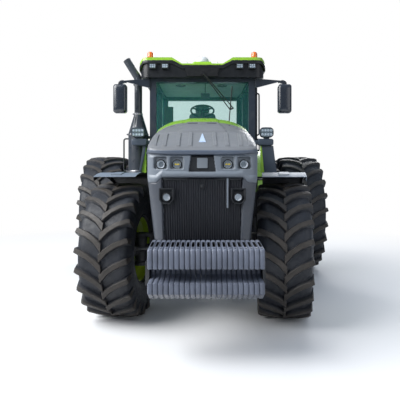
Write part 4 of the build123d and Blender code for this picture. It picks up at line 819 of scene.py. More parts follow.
def nose_skin():
    """The nose as one skin from its lip back to the hood's shell: rows every few millimetres between the
    rounded front and the shell's edge, with the nose's relief, its sunk slots and a lip rolled under."""
    offsets, down = hood_columns(flat=80, corner=9, side=4)
    u = [np.linspace(0, 0.12, 22), np.linspace(0.12, 0.80, 80)[1:], np.linspace(0.80, 1.0, 56)[1:]]
    u = np.concatenate(u)
    half = np.interp(MASK_FRONT + u * 0.75, hood_rows[:, 0], hood_rows[:, 1])
    x = offsets[None, :] * half[:, None]
    front = MASK_FRONT - 0.010 + corner_back(offsets * 0.566, 0.567)[None, :] * 0.98
    y = front + u[:, None] * (-1.5753 - front)
    along = y - front
    top = crown_height(x, y)
    relief = nose_relief(x, y, along) * (down[None, :] == 0)
    dark = slot_mask(x, y) * (down[None, :] == 0)
    z = top + relief - 0.020 * dark
    low = 1.8955 + (1.7503 - 1.8955) * smooth_step(y, -2.156, -2.146)
    z = z + down[None, :] * (low - z)
    # the front 30 mm rolls over into the lip, which drops to the mask in six rows
    roll = np.clip(1 - along / 0.030, 0, 1)
    z = z - 0.014 * roll**2.2 * (down[None, :] == 0)
    base = 1.8925 + 0.026 * offsets**4
    lip = ((0.050, 0.0), (0.014, 0.0), (0.004, 0.10), (0.0, 0.30), (-0.003, 0.65), (-0.002, 0.88))
    lip = [np.stack([x[0], front[0] + back, base + share * (z[0] - base)], -1) for back, share in lip]
    skin = np.stack([x, y, z], -1)
    points = np.concatenate([np.array(lip), skin])
    rows, columns = points.shape[:2]
    faces = grid_faces(rows, columns)
    skin = Shape().grid(points)
    thing = skin.make("hood_nose_skin", "hood", "nose", GREY_NOSE, MESH_BLACK, LIP_GREY, sharp=50.0)
    full = np.concatenate([np.zeros((len(lip), columns)), dark]).ravel()
    index = (full[faces].mean(1) > 0.5).astype(np.int32)
    middle = points.reshape(-1, 3)[faces].mean(1)
    # slots: 0 the nose, 1 its dark slots, 2 the lip's front
    band = (faces[:, 2] < (len(lip) + 1) * columns) & (middle[:, 2] > 1.885)
    thing.data.polygons.foreach_set("material_index", np.where(band, 2, index).astype(np.int32))
    thicken(thing, 0.010)
    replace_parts(thing, "hood_nose")


def shell_skin():
    """The hood behind the nose: the same section carried back, with a pressed spine, a shut line along
    each shoulder and a louvred panel in each side."""
    offsets, down = hood_columns(flat=50, corner=10, side=26)
    y = np.linspace(-1.5745, -0.4755, 150)[:, None] + np.zeros((1, len(offsets)))
    x = offsets[None, :] * hood_size(y)[0]
    top = crown_height(x, y)
    top = top + 0.010 * smooth_step(0.20 - np.abs(x), 0, 0.02) * (down[None, :] == 0)
    side = down[None, :] > 0
    z = top + down[None, :] * (1.7503 - top)
    share = down[None, :]
    # louvres: a wave every 41.5 mm, sunk into a panel on each side
    panel = smooth_step(0.40 - np.abs(share - 0.52), 0, 0.03) * side
    panel = panel * smooth_step(0.47 - np.abs(y + 1.02), 0, 0.02)
    wave = 0.5 - 0.5 * np.cos((y + 1.49) / 0.0415 * 2 * math.pi)
    x = x - np.sign(x) * panel * (0.006 + 0.012 * wave)
    x = x - np.sign(x) * 0.008 * np.exp(-(((share - 0.03) / 0.015) ** 2)) * side
    skin = Shape().grid(np.stack([x, y, z], -1))
    thing = skin.make("hood_shell_skin", "hood", "body", GREEN, MESH_BLACK, sharp=45.0)
    faces = grid_faces(*y.shape)
    thing.data.polygons.foreach_set("material_index", (panel.ravel()[faces].mean(1) > 0.5).astype(np.int32))
    thicken(thing, 0.010)
    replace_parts(thing, "hood_shell")
    ears = Shape()
    for side in (-1, 1):
        ring = rounded_outline(0.070, 0.120, 0.034, 8)
        slab(ears, ring, (side * 0.252, -0.510, 2.335), (side, 0, 0), UP, 0.012, 0.002)
        rounded_box(ears, (side * 0.240, -0.545, 2.360), (side * 0.252, -0.478, 2.395), 0.004, 0.002, "x")
    ears.make("hood_hinge_ears", "hood", None, STEEL_BLACK)


def mask_half(z):
    """Half width of the mask at a height: upright above, drawn in below the chin."""
    return np.interp(z, (1.03, 1.64, 1.70, 1.93), (0.492, 0.560, 0.565, 0.566))


def grille_edge(z):
    """Where the grey corner panels stop and the grille starts."""
    return np.interp(z, (1.03, 1.60), (0.384, 0.404))


def chin_line(x):
    """Underside of the chin band: level over the grille, stepping down at the corners."""
    return 1.666 - 0.054 * smooth_step(np.abs(x), 0.395, 0.475)


def mask_skin():
    """The grey mask: lamp pods with square recesses, the dark middle panel, the chin band and the corner
    panels, as one skin over (across, height) with its forms pressed in or out along the tractor."""
    flat = np.linspace(-0.86, 0.86, 191)
    theta = np.linspace(0, 1, 13)[1:]
    bend = 0.86 + 0.14 * np.sin(theta * math.pi / 2)
    offsets = np.concatenate([-np.ones(3), -bend[::-1], flat, bend, np.ones(3)])
    past = np.concatenate([np.array([1.0, 0.6, 0.2]), np.zeros(len(offsets) - 6), np.array([0.2, 0.6, 1.0])])
    z = np.concatenate([np.linspace(1.032, 1.60, 30), np.linspace(1.60, 1.915, 84)[1:]])
    x = offsets[None, :] * mask_half(z)[:, None]
    zz = z[:, None] + 0 * x
    y = MASK_FRONT + 0.004 + corner_back(offsets, 1.0)[None, :] * 0.93 + past[None, :] * 0.012
    # the dark middle panel, wider towards its foot
    middle_edge = 0.113 + 0.024 * np.clip((1.89 - zz) / 0.163, 0, 1)
    middle = smooth_step(middle_edge - np.abs(x), -0.006, 0.006) * smooth_step(zz, 1.722, 1.730)
    # the lamps' rounded square recesses: how deep, and where their floor's lighter grey, painted light
    # against the recess's shade, starts
    recess, dished = np.zeros_like(x), np.zeros_like(x)
    for place in LAMP_X:
        d = box_distance(np.abs(x), zz, place, 1.8130, 0.146, 0.137, 0.026)
        recess = np.maximum(recess, smooth_step(-d, 0.0, 0.020))
        dished = np.maximum(dished, smooth_step(-d, 0.001, 0.003))
    # the chin band: a rounded bar over the grille, taller at its ends
    low = chin_line(x)
    high = low + 0.061 + 0.018 * smooth_step(np.abs(x), 0.33, 0.45)
    share = np.clip((zz - low) / (high - low), 0, 1)
    chin = np.sin(share * math.pi) ** 0.6
    y = y + 0.022 * middle + 0.034 * recess - 0.017 * chin + 0.012 * smooth_step(zz, 1.872, 1.895)
    y = y - 0.004 * smooth_step(low - zz, 0.0, 0.01)
    # the grille's opening, with the corner panels turned in round it
    opening = (np.abs(x) < grille_edge(zz)) & (zz < low)
    y = y + 0.020 * smooth_step(grille_edge(zz) + 0.014 - np.abs(x), 0, 0.014) * (zz < low - 0.004)
    points = np.stack([x, y, zz], -1)
    faces = grid_faces(*x.shape)
    faces = faces[~opening.ravel()[faces].all(1)]
    skin = Shape()
    skin.points, skin.faces = [points.reshape(-1, 3)], faces.tolist()
    finishes = GREY_MASK, BLACK_PLASTIC, RECESS_PAINTED_LIGHT, MASK_CORNER
    thing = skin.make("nose_mask_skin", "hood", "mask", *finishes, sharp=55.0)
    panel, pod, over = (field.ravel()[faces].mean(1) for field in (middle, dished, zz - low))
    # slots: 0 the mask, 1 its dark middle, 2 the lamps' recess floors in a lighter grey as painted light
    # against their shade, 3 the corner panels below the chin
    index = np.where(over < 0.004, 3, np.where(panel > 0.6, 1, np.where(pod > 0.5, 2, 0)))
    thing.data.polygons.foreach_set("material_index", index.astype(np.int32))
    thicken(thing, 0.008)
    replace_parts(thing, "nose_mask")


def grille_screen():
    """The dark screen: upright ribs every 24 mm, each a rounded bar on a fine mesh, under the chin and
    between the corner panels, with a bead along its top on each side."""
    pitch = 0.024
    count = 33
    across = (np.arange(count * 8 + 1) / 8 - count / 2) * pitch
    z = np.linspace(1.036, 1.668, 40)
    x, zz = np.meshgrid(across, z)
    wave = np.clip(np.cos(x / pitch * 2 * math.pi), -0.2, 1)
    y = MASK_FRONT + 0.030 + corner_back(x, 0.6) - 0.008 * wave
    x = x * np.interp(zz, (1.03, 1.60), (0.962, 1.0))
    screen = Shape().grid(np.stack([x, y, zz], -1))
    thing = screen.make("grille_screen", "hood", "grille", MESH_BLACK, sharp=60.0)
    thicken(thing, 0.006)
    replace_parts(thing, "grille")
    strip = Shape()
    rounded_box(strip, (0.243, MASK_FRONT + 0.006, 1.360), (0.262, MASK_FRONT + 0.022, 1.662), 0.006, 0.004)
    strip.make("grille_strip", "hood", "mask", GREY_MASK)
    trim = Shape()
    y = MASK_FRONT
    for side in (-1, 1):
        rounded_box(trim, (side * 0.150, y + 0.016, 1.640), (side * 0.392, y + 0.030, 1.664), 0.004, 0.003)
    rounded_box(trim, (-0.020, y + 0.004, 1.560), (0.020, y + 0.026, 1.598), 0.008, 0.004)
    slab(trim, round_outline(0.011, 20), (0.0, y - 0.001, 1.579), AHEAD, UP, 0.008, 0.002)
    trim.make("grille_sensor", "hood", "grille", BLACK_PLASTIC)
    backing = Shape()
    rounded_box(backing, (-0.455, MASK_FRONT + 0.062, 1.045), (0.455, MASK_FRONT + 0.068, 1.742), 0.02, 0.002)
    backing.make("grille_backing", "hood", "grille", MESH_BLACK)


def lamp_bowls():
    """Bezels, faceted bowls, lamp cores and domed lenses of the front lamps."""
    bezels, bowls, lenses, cores = Shape(), Shape(), Shape(), Shape()
    around = 48
    a = np.linspace(0, 2 * math.pi, around, endpoint=False)
    across = (-LAMP_X[1], -LAMP_X[0], *LAMP_X)
    places = [(x, MASK_FRONT + 0.044, 1.8000, 0.043) for x in across]
    places += [(side * 0.357, MASK_FRONT - 0.002, 1.470, 0.037) for side in (-1, 1)]
    for x, y, z, r in places:
        rim = [(0.0, 0.008), (0.014, 0.006), (0.018, 0.002), (0.018, -0.002), (0.004, -0.003), (0.0, 0.0)]
        turned(bezels, [(ahead, r + more) for ahead, more in rim], (x, y, z), AHEAD, around)
        bowl = [(0.012, r - 0.002), (0.004, r * 0.86), (-0.010, r * 0.62), (-0.018, r * 0.30)]
        bowl += [(-0.020, 0.0015)]
        facets = 1 + 0.035 * np.cos(a * 8) * np.array([[0], [1], [1], [1], [0]])
        dome = [(0.010, r - 0.001), (0.016, r * 0.93), (0.021, r * 0.70), (0.024, r * 0.38), (0.025, 0.001)]
        for shape, profile, wave in ((bowls, bowl, facets), (lenses, dome, 1 + 0 * facets)):
            ahead, reach = np.hsplit(np.array(profile), 2)
            reach = reach * wave
            points = [x + reach * np.cos(a), y - ahead + 0 * reach, z + reach * np.sin(a)]
            shape.grid(np.stack(points, -1), wrap_columns=True)
        for dx in (-0.014, 0.014) if abs(x) == LAMP_X[0] else ():
            middle, half = np.array((x + dx, y + 0.0025, z)), (0.011, 0.0115, 0.008)
            rounded_box(cores, middle - half, middle + half, 0.003, 0.002)
    bezels.make("lamp_bezels", "hood", "lamp", BLACK_PLASTIC)
    # the bowls' near-white paint is a painted reflection in place of a mirror finish
    bowls.make("lamp_bowls", "hood", "lamp", BOWL_PAINTED_REFLECTION)
    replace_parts(lenses.make("lamp_lenses", "hood", "lamp", CLEAR_LENS), "headlamps")
    cores.make("lamp_cores", "hood", "lamp", LAMP_YELLOW)


def work_lamp_housings():
    """The two six-sided housings of the lamps in front of the grille."""
    housings = Shape()
    rim = [(0.0, 0.060), (0.0, 0.004), (0.003, 0.0), (0.011, 0.0), (0.014, 0.003), (0.030, 0.020)]
    rim += [(0.032, 0.030)]
    outer = [(0.075, 0.080), (-0.075, 0.080), (-0.075, -0.035), (-0.040, -0.080), (0.040, -0.080)]
    outer += [(0.075, -0.035)]
    for side in (-1, 1):
        rings = []
        for inset, back in rim:
            o = inset_outline(np.array(outer), inset)
            face = np.full(len(o), MASK_FRONT - 0.012 + back)
            rings.append(np.stack([side * 0.360 + o[:, 0], face, 1.480 + o[:, 1]], -1))
        housings.loft(np.array(rings))
    housings.make("work_lamp_housings", "hood", "grille", BLACK_PLASTIC, sharp=25.0)


def nose_trim():
    """The bare plate in the mask's middle and the bright wedge lying on the nose."""
    plate = Shape()
    outline = rounded_outline(0.108, 0.104, 0.012, 5)
    slab(plate, outline, (0.0, MASK_FRONT + 0.016, 1.812), AHEAD, UP, 0.012, 0.003)
    plate.make("bare_badge_plate", "hood", "trim", BADGE_GREY)
    wedge = Shape()
    y0, z0 = -2.195, float(crown_height(0.0, -2.195)) + 0.002
    y1, z1 = -1.995, float(crown_height(0.0, -1.995)) + 0.002
    corners = np.array([(-0.036, y0), (0.036, y0), (0.004, y1), (-0.004, y1)])
    rings = []
    for inset, rise in ((0.0, -0.012), (0.0, 0.004), (0.0015, 0.007), (0.004, 0.008)):
        o = inset_outline(corners, inset)
        height = z0 + (z1 - z0) * (o[:, 1] - y0) / (y1 - y0)
        rings.append(np.stack([o[:, 0], o[:, 1], height + rise], -1))
    wedge.loft(np.array(rings))
    wedge.make("nose_wedge", "hood", "trim", WEDGE_SILVER, smooth=False)


nose_skin()
nose_ribs()
shell_skin()
mask_skin()
grille_screen()
lamp_bowls()
work_lamp_housings()
nose_trim()


# ------------------------------------------------------------------ rigid pieces that keep their CAD form
CHASSIS = nodes["cab_frame"]["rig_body"]
rigid = (
    # node, finish, slot, radius of its rounded edges, angle over which an edge counts
    ("front_frame", FRAME_BLACK, "chassis", 0.004, 32),
    ("engine_block", ENGINE_GREY, "engine", 0.008, 32), ("radiator_pack", RADIATOR, "radiator", 0.004, 32),
    ("transaxle", CASTING_BLACK, "castings", 0.008, 32), ("front_axle", CASTING_BLACK, "castings", 0.006, 32),
    ("driveshaft", STEEL_BLACK, "steel", 0.002, 32), ("fuel_tank", TANK_PLASTIC, "tank", 0.010, 32),
    ("battery_box", FRAME_BLACK, "chassis", 0.006, 32), ("steps", FRAME_BLACK, "chassis", 0.002, 32),
    ("cab_floor", CAB_PAINT, "cab_floor", 0.003, 32), ("cab_frame", CAB_PAINT, "cab_frame", 0.005, 32),
    ("roof_top", GREEN, "body", 0.012, 28), ("roof_visor", VISOR_PLASTIC, "visor", 0.008, 28),
    ("cab_glass", GLASS, "glass", 0.0, 32), ("wiper", WIPER_BLACK, "trim", 0.002, 36),
    ("exhaust_stack", EXHAUST_BLACK, "exhaust", 0.002, 40),
    ("handrails", STEEL_BLACK, "rails", 0.0, 50), ("steering_wheel", BLACK_PLASTIC, "console", 0.002, 40),
    ("side_console", CONSOLE_GREY, "console", 0.010, 32), ("drawbar", STEEL_BLACK, "steel", 0.003, 32),
    ("couplers", BARE_STEEL, "bright", 0.001, 32), ("hitch_mounts", CASTING_BLACK, "castings", 0.004, 32),
    ("door_frame", CAB_PAINT, "cab_frame", 0.006, 32), ("door_glass", GLASS, "glass", 0.0, 32),
    ("knuckle_left", CASTING_BLACK, "castings", 0.004, 32),
    ("knuckle_right", CASTING_BLACK, "castings", 0.004, 32),
    ("tie_rod", STEEL_BLACK, "steel", 0.002, 32), ("lower_links", STEEL_BLACK, "steel", 0.004, 32),
    ("lift_arms", CASTING_BLACK, "castings", 0.005, 32), ("lift_rods", STEEL_BLACK, "steel", 0.002, 32),
    ("top_link", STEEL_BLACK, "steel", 0.002, 32), ("pto_shaft", BARE_STEEL, "bright", 0.001, 32),
)
for node, finish, slot, edge, angle in rigid:
    cad_copy(node, finish, edge, angle)

cad_copy("mirrors", MIRROR_BLACK, 0.014, 32, 4)
cad_copy("work_lamps", BLACK_PLASTIC, 0.006, 32)
for side, hand in HANDS:
    under = BLACK_PLASTIC, front_middle(side)
    cad_copy(f"front_fender_{hand}", FENDER_TOP, 0.003, 34, under=under)
cad_copy("rear_fenders", GREEN, 0.004, 34, under=(BLACK_PLASTIC, (0.0, REAR_AXLE_Y, REAR_RADIUS)))


# ------------------------------------------------------------------ small things on the outside
def outline_at(outline, centre, right, upright, out, depth):
    """An outline's points in the plane through centre, carried out along its normal by depth."""
    return np.asarray(centre, float) + outline[:, :1] * right + outline[:, 1:] * upright + depth * out


class Lamps:
    """Collects the rims, bright backs, light cells and clear covers of the work lamps."""

    def __init__(self):
        self.rims, self.backs, self.cells, self.covers = Shape(), Shape(), Shape(), Shape()

    def add(self, centre, facing, width, height, radius, rows, columns):
        """A lamp's face: a rim, a flat back, a grid of domed cells and a clear cover."""
        right, upright, out = axes_frame(facing, UP)
        outline = rounded_outline(width, height, radius, 7)
        rim = ((0.0, 0.0), (0.0, 0.008), (0.0015, 0.011), (0.006, 0.011), (0.008, 0.009), (0.008, 0.0))
        rings = [outline_at(inset_outline(outline, i), centre, right, upright, out, d) for i, d in rim]
        self.rims.grid(np.array(rings), wrap_rows=True, wrap_columns=True)
        origin = np.asarray(centre, float) + 0.002 * out
        slab(self.backs, inset_outline(outline, 0.008), origin, facing, UP, 0.004, 0.001, 1)
        slab(self.covers, inset_outline(outline, 0.0085), origin + 0.0075 * out, facing, UP, 0.0025, 0.001, 1)
        step_x, step_z = (width - 0.020) / columns, (height - 0.020) / rows
        size = 0.78 * min(step_x, step_z)
        for row in range(rows):
            for column in range(columns):
                x, z = (column - (columns - 1) / 2) * step_x, (row - (rows - 1) / 2) * step_z
                middle = origin + x * right + z * upright + 0.006 * out
                outline = rounded_outline(size, size, 0.3 * size, 3)
                slab(self.cells, outline, middle, facing, UP, 0.006, 0.002, 2)

    def make(self):
        """The four pieces of all the lamps together."""
        for shape, name, finish in (
            (self.rims, "work_lamp_rims", BLACK_PLASTIC), (self.backs, "work_lamp_backs", LAMP_BACK),
            (self.cells, "work_lamp_cells", LENS), (self.covers, "work_lamp_covers", CLEAR_LENS),
        ):
            shape.make(name, CHASSIS, "lamp", finish)


def work_lamp_faces():
    """Faces of the eight roof lamps and the two lamps on the light pods."""
    lamps = Lamps()
    low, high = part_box("work_lamps")
    middle_z = (low[2] + high[2]) / 2
    for x in (0.526, 0.700):
        for side in (-1, 1):
            lamps.add((side * x, low[1], middle_z), AHEAD, 0.100, 0.073, 0.012, 2, 3)
            lamps.add((side * x, high[1], middle_z), REARWARD, 0.100, 0.073, 0.012, 2, 3)
    for side in (-1, 1):
        lamps.add((side * 0.912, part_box("light_pods")[0][1], 2.3075), AHEAD, 0.186, 0.136, 0.048, 2, 4)
    lamps.make()


def light_pod_shells():
    """The pods ahead of the cab's front posts: a rounded lamp housing on its neck, the base below it,
    the arm to the cab, the strut beside the exhaust and the shield ahead of the door, with the green
    edging beside them."""
    shells, edging = Shape(), Shape()
    for side in (-1, 1):
        rounded_box(shells, (side * 0.785, -0.430, 2.124), (side * 1.010, -0.355, 2.222), 0.030, 0.014)
        rounded_box(shells, (side * 0.812, -0.437, 2.236), (side * 1.012, -0.372, 2.384), 0.056, 0.016)
        rounded_box(shells, (side * 0.872, -0.420, 2.205), (side * 0.952, -0.376, 2.250), 0.010, 0.006)
        rounded_box(shells, (side * 0.697, -0.399, 2.141), (side * 0.860, -0.351, 2.199), 0.010, 0.006)
    plates = (
        (shells, [(-0.845, 2.123), (-0.905, 1.736), (-0.875, 1.736), (-0.800, 2.123)], -0.399),
        (shells, [(1.010, 2.123), (0.844, 2.123), (0.883, 1.736), (1.059, 1.736)], -0.399),
        (edging, [(0.846, 2.123), (0.822, 2.123), (0.832, 1.738), (0.885, 1.738)], -0.392),
        (edging, [(-0.802, 2.123), (-0.848, 2.123), (-0.900, 1.738), (-0.802, 1.738)], -0.368),
    )
    for shape, corners, front in plates:
        points = np.array(corners)
        if np.cross(points[1] - points[0], points[2] - points[1]) < 0:
            points = points[::-1]
        slab(shape, points, (0.0, front, 0.0), AHEAD, UP, 0.026 if shape is shells else 0.008, 0.003)
    shell = shells.make("light_pod_shells", CHASSIS, "trim", POD_GREY, sharp=40.0)
    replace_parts(shell, "light_pods")
    edging.make("light_pod_edging", CHASSIS, "body", GREEN)


def roof_fascia():
    """The dark band under the roof's green edge, carried round its front corners and tapering out along
    its sides."""
    arc = np.linspace(0, math.pi / 2, 10)
    side_y = np.linspace(-0.120, -0.325, 8)
    # from the side round the corner to the middle of the front, then mirrored
    runs = [np.linspace(0.750, 0.424, 8), np.linspace(0.424, 0.284, 7), np.linspace(0.284, 0.0, 8)]
    x = np.concatenate([np.full(8, 0.900), 0.750 + 0.150 * np.cos(arc)[1:]] + [run[1:] for run in runs])
    ahead_count = len(x) - 17
    y = np.concatenate([side_y, -0.325 - 0.150 * np.sin(arc)[1:], np.full(ahead_count, -0.475)])
    spread = np.concatenate([np.full(8, 1.0), np.cos(arc)[1:], np.zeros(ahead_count)])
    ahead = np.concatenate([np.zeros(8), np.sin(arc)[1:], np.ones(ahead_count)])
    high = np.interp(x, [0.284, 0.424, 0.842, 0.900], [3.255, 3.322, 3.322, 3.252])
    low = np.interp(x, [0.284, 0.424, 0.842, 0.896], [3.206, 3.276, 3.276, 3.196])
    high = low + (high - low) * np.clip((-0.120 - y) / 0.180, 0.02, 1)
    x = np.concatenate([x, -x[-2::-1]])
    y, high, low = (np.concatenate([v, v[-2::-1]]) for v in (y, high, low))
    spread = np.concatenate([spread, -spread[-2::-1]])
    ahead = np.concatenate([ahead, ahead[-2::-1]])
    rows = ((-0.004, 0.0), (0.003, 0.0), (0.006, 0.12), (0.006, 0.88), (0.003, 1.0), (-0.004, 1.0))
    rings = []
    for out, share in rows:
        rings.append(np.stack([x + out * spread, y - out * ahead, low + share * (high - low)], -1))
    band = Shape().grid(np.array(rings), wrap_rows=True)
    band.make("roof_fascia", CHASSIS, "visor", VISOR_PLASTIC, sharp=50.0)


def beacon_domes():
    """Turned amber beacons: a black foot and a ribbed cover with a rounded crown."""
    feet, covers = Shape(), Shape()
    low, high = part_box("beacons")
    y, foot, top = (low[1] + high[1]) / 2, low[2], high[2]
    around = 72
    ribs = 1 + 0.018 * (np.arange(around) % 3 == 0)
    for side in (-1, 1):
        x = side * (high[0] - 0.052)
        profile = [(0, 0.0), (0, 0.051), (0.018, 0.052), (0.024, 0.048), (0.032, 0.047), (0.034, 0.0)]
        turned(feet, profile, (x, y, foot), UP, 40, False)
        profile = [(0.0, 0.043), (0.006, 0.0445), (0.060, 0.0440), (0.074, 0.043), (0.086, 0.038)]
        profile = np.array(profile + [(0.094, 0.028), (0.098, 0.014), (0.0985, 0.001)])
        a = np.linspace(0, 2 * math.pi, around, endpoint=False)
        ribbed = profile[:, 1:] * np.where((np.arange(len(profile)) < 4)[:, None], ribs, 1.0)
        z = foot + 0.034 + np.broadcast_to(profile[:, :1], ribbed.shape)
        covers.loft(np.stack([x + ribbed * np.cos(a), y + ribbed * np.sin(a), np.minimum(z, top)], -1))
    feet.make("beacon_feet", CHASSIS, "trim", BLACK_PLASTIC)
    dome = covers.make("beacon_covers", CHASSIS, "beacon", AMBER, sharp=50.0)
    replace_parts(dome, "beacons")


def mirror_faces():
    """Crowned back shells, mirror glass and the bent tubes from the arms, on both mirrors."""
    shells, glass, tubes = Shape(), Shape(), Shape()
    front, rear, out, middle = -0.405, -0.330, 1.174, 2.795
    outline = rounded_outline(0.186, 0.404, 0.040, 8)
    rows = [(0.0, 0.030), (0.0005, 0.0), (0.004, -0.012), (0.014, -0.022), (0.030, -0.029)]
    rows += [(0.052, -0.033), (0.078, -0.0345), (0.090, -0.0348)]
    for side in (-1, 1):
        rings = []
        for inset, back in rows:
            o = outline * (1 - inset / np.array([0.093, 0.202]))
            depth = np.full(len(o), front + back)
            rings.append(np.stack([side * out + o[:, 0], depth, middle + o[:, 1]], -1))
        shells.loft(np.array(rings))
        face = rounded_outline(0.166, 0.384, 0.032, 7)
        slab(glass, face, (side * out, rear + 0.003, middle), REARWARD, UP, 0.004, 0.001)
        bends = [(1.085, 3.030), (1.150, 3.058), (1.196, 3.030), (1.196, 2.985)]
        path = rounded_path([(side * x, -0.367, z) for x, z in bends], 0.030, 7)
        tube(tubes, path, 0.013, 14, REARWARD)
    shells.make("mirror_shells", CHASSIS, "trim", MIRROR_BLACK, sharp=60.0)
    glass.make("mirror_glass", CHASSIS, "glass", REFLECTOR)
    tubes.make("mirror_tubes", CHASSIS, "trim", STEEL_BLACK)


def exhaust_clamps():
    """Band clamps round the exhaust's body and pipe, each a rolled strip with its bolt lug."""
    bands = Shape()
    strip = ((-0.014, 0.0), (-0.014, 0.003), (-0.008, 0.0055), (0.008, 0.0055), (0.014, 0.003), (0.014, 0.0))
    clamps = ((2.600, 0.060, 0.4), (2.300, 0.1465, 0.2), (1.760, 0.1465, 0.2), (3.030, 0.0575, 0.6))
    for z, radius, turn in clamps:
        middle = np.array([-0.944, -0.175, z])
        turned(bands, [(along, radius + rise) for along, rise in strip], middle, UP, 56)
        out = np.array([math.cos(turn + math.pi), math.sin(turn + math.pi), 0.0])
        spot = middle + (radius + 0.012) * out
        rounded_box(bands, spot - (0.010, 0.012, 0.010), spot + (0.010, 0.012, 0.010), 0.003, 0.002)
    bands.make("exhaust_clamps", CHASSIS, "exhaust", BARE_STEEL)


def suitcase_weights():
    """The rack of 22 suitcase weights: each a hooked plate with well rounded rims, a grip slot sunk in
    its top, lined near-black as painted shade, and a small dark plug in its nose."""
    low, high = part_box("front_weights")
    front, rail = low[1], 0.960
    outline = np.array([
        # y, z round a plate: face, top, back, hook, foot and the recess across the face
        (front, rail - 0.093), (front, rail + 0.070), (front + 0.013, rail + 0.083), (high[1], rail + 0.110),
        (high[1], rail - 0.045), (high[1] - 0.050, rail - 0.045), (high[1] - 0.050, rail + 0.025),
        (high[1] - 0.090, rail + 0.025), (high[1] - 0.090, rail - 0.360), (front + 0.125, rail - 0.378),
        (front, rail - 0.310), (front, rail - 0.214), (front + 0.225, rail - 0.208),
        (front + 0.255, rail - 0.185), (front + 0.255, rail - 0.110), (front + 0.225, rail - 0.093),
    ])[::-1]
    count, gap = 22, 0.0008
    pitch = (high[0] - low[0] + gap) / count
    top = (0, -0.07, 1)
    plug = [(-0.004, 0.0), (-0.004, 0.0085), (0.0, 0.0090), (0.0015, 0.0075), (0.0018, 0.0)]
    plates, plugs, slots = Shape(), Shape(), Shape()
    for i in range(count):
        x = low[0] + i * pitch
        slab(plates, outline, (x + pitch - gap, 0.0, 0.0), (1, 0, 0), UP, pitch - gap, 0.0135, 4)
        centre = (x + pitch / 2, front + 0.200, rail + 0.1165)
        slab(slots, rounded_outline(0.025, 0.200, 0.0120, 7), centre, top, REARWARD, 0.080, 0.002)
        turned(plugs, plug, (x + pitch / 2, front + 0.042, rail + 0.0862), top, 14, False)
    body = nodes["front_weights"]["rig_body"]
    thing = plates.make("suitcase_weights", body, "weights", WEIGHT_GREY, sharp=50.0)
    # the cutter's near-black finish passes to the slot walls as painted shade
    cutter = slots.make("slot_cutters", body, None, SLOT_PAINTED_SHADE, sharp=30.0)
    cut = thing.modifiers.new("grip_slots", "BOOLEAN")
    cut.object, cut.operation, cut.solver, cut.material_mode = cutter, "DIFFERENCE", "EXACT", "TRANSFER"
    bpy.context.view_layer.objects.active = thing
    bpy.ops.object.modifier_apply(modifier=cut.name)
    bpy.data.objects.remove(cutter)
    smooth_faces(thing.data, 50.0)
    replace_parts(thing, "front_weights")
    plugs.make("weight_plugs", body, "weights", BLACK_PLASTIC)


def roof_receiver():
    """The receiver on the roof: a green foot with sloped ends and a low grey dome at its front."""
    low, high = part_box("gps_receiver")
    foot, dome = Shape(), Shape()
    middle_y = (low[1] + high[1]) / 2
    rows = ((0.0, 0.154), (0.006, 0.152), (0.034, 0.134), (0.041, 0.126), (0.042, 0.112))
    rings = []
    for rise, half in rows:
        o = rounded_outline(2 * half, high[1] - low[1] - 0.6 * (0.154 - half), 0.030, 6)
        rings.append(np.stack([o[:, 0], middle_y + o[:, 1], np.full(len(o), low[2] + rise)], -1))
    foot.loft(np.array(rings))
    foot.make("receiver_foot", CHASSIS, "body", GREEN, sharp=50.0)
    top = high[2] - low[2] - 0.041
    profile = [(0, 0.0), (0, 0.096), (0.006, 0.098), (0.40 * top, 0.096), (0.72 * top, 0.088)]
    profile += [(0.90 * top, 0.068), (top, 0.034), (top, 0.0)]
    turned(dome, profile, (0.0, low[1] + 0.100, low[2] + 0.041), UP, 64, False)
    thing = dome.make("receiver_dome", CHASSIS, "gps", RECEIVER_GREY, sharp=60.0)
    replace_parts(thing, "gps_receiver")


def wheel_nuts():
    """Circles of domed nuts on every wheel disc."""
    for side, hand in HANDS:
        nuts = Shape()
        nut_ring(nuts, front_middle(side), STEER_REST, side * 0.075, 0.1632, 10, 0.034, side)
        nuts.make(f"front_wheel_nuts_{hand}", nodes[f"front_rim_{hand}"]["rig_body"], "bright", BARE_STEEL)
        nuts = Shape()
        for x in TWIN_X:
            nut_ring(nuts, (side * x, REAR_AXLE_Y, REAR_RADIUS), 0.0, side * 0.045, 0.2407, 10, 0.036, side)
        nuts.make(f"rear_wheel_nuts_{hand}", nodes[f"rear_rims_{hand}"]["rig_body"], "bright", BARE_STEEL)


def roof_fins():
    """Two short aerials in the roof's valley."""
    fins = Shape()
    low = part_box("gps_receiver")[0]
    profile = [(0, 0.0), (0, 0.024), (0.008, 0.022), (0.014, 0.012), (0.060, 0.008), (0.066, 0.004)]
    profile += [(0.067, 0.0)]
    for x in (-0.224, 0.212):
        turned(fins, profile, (x, low[1] + 0.10, low[2] - 0.001), UP, 24, False)
    fins.make("roof_aerials", CHASSIS, "gps", RECEIVER_GREY)


light_pod_shells()
roof_fascia()
work_lamp_faces()
beacon_domes()
mirror_faces()
exhaust_clamps()
suitcase_weights()
roof_receiver()
wheel_nuts()
roof_fins()


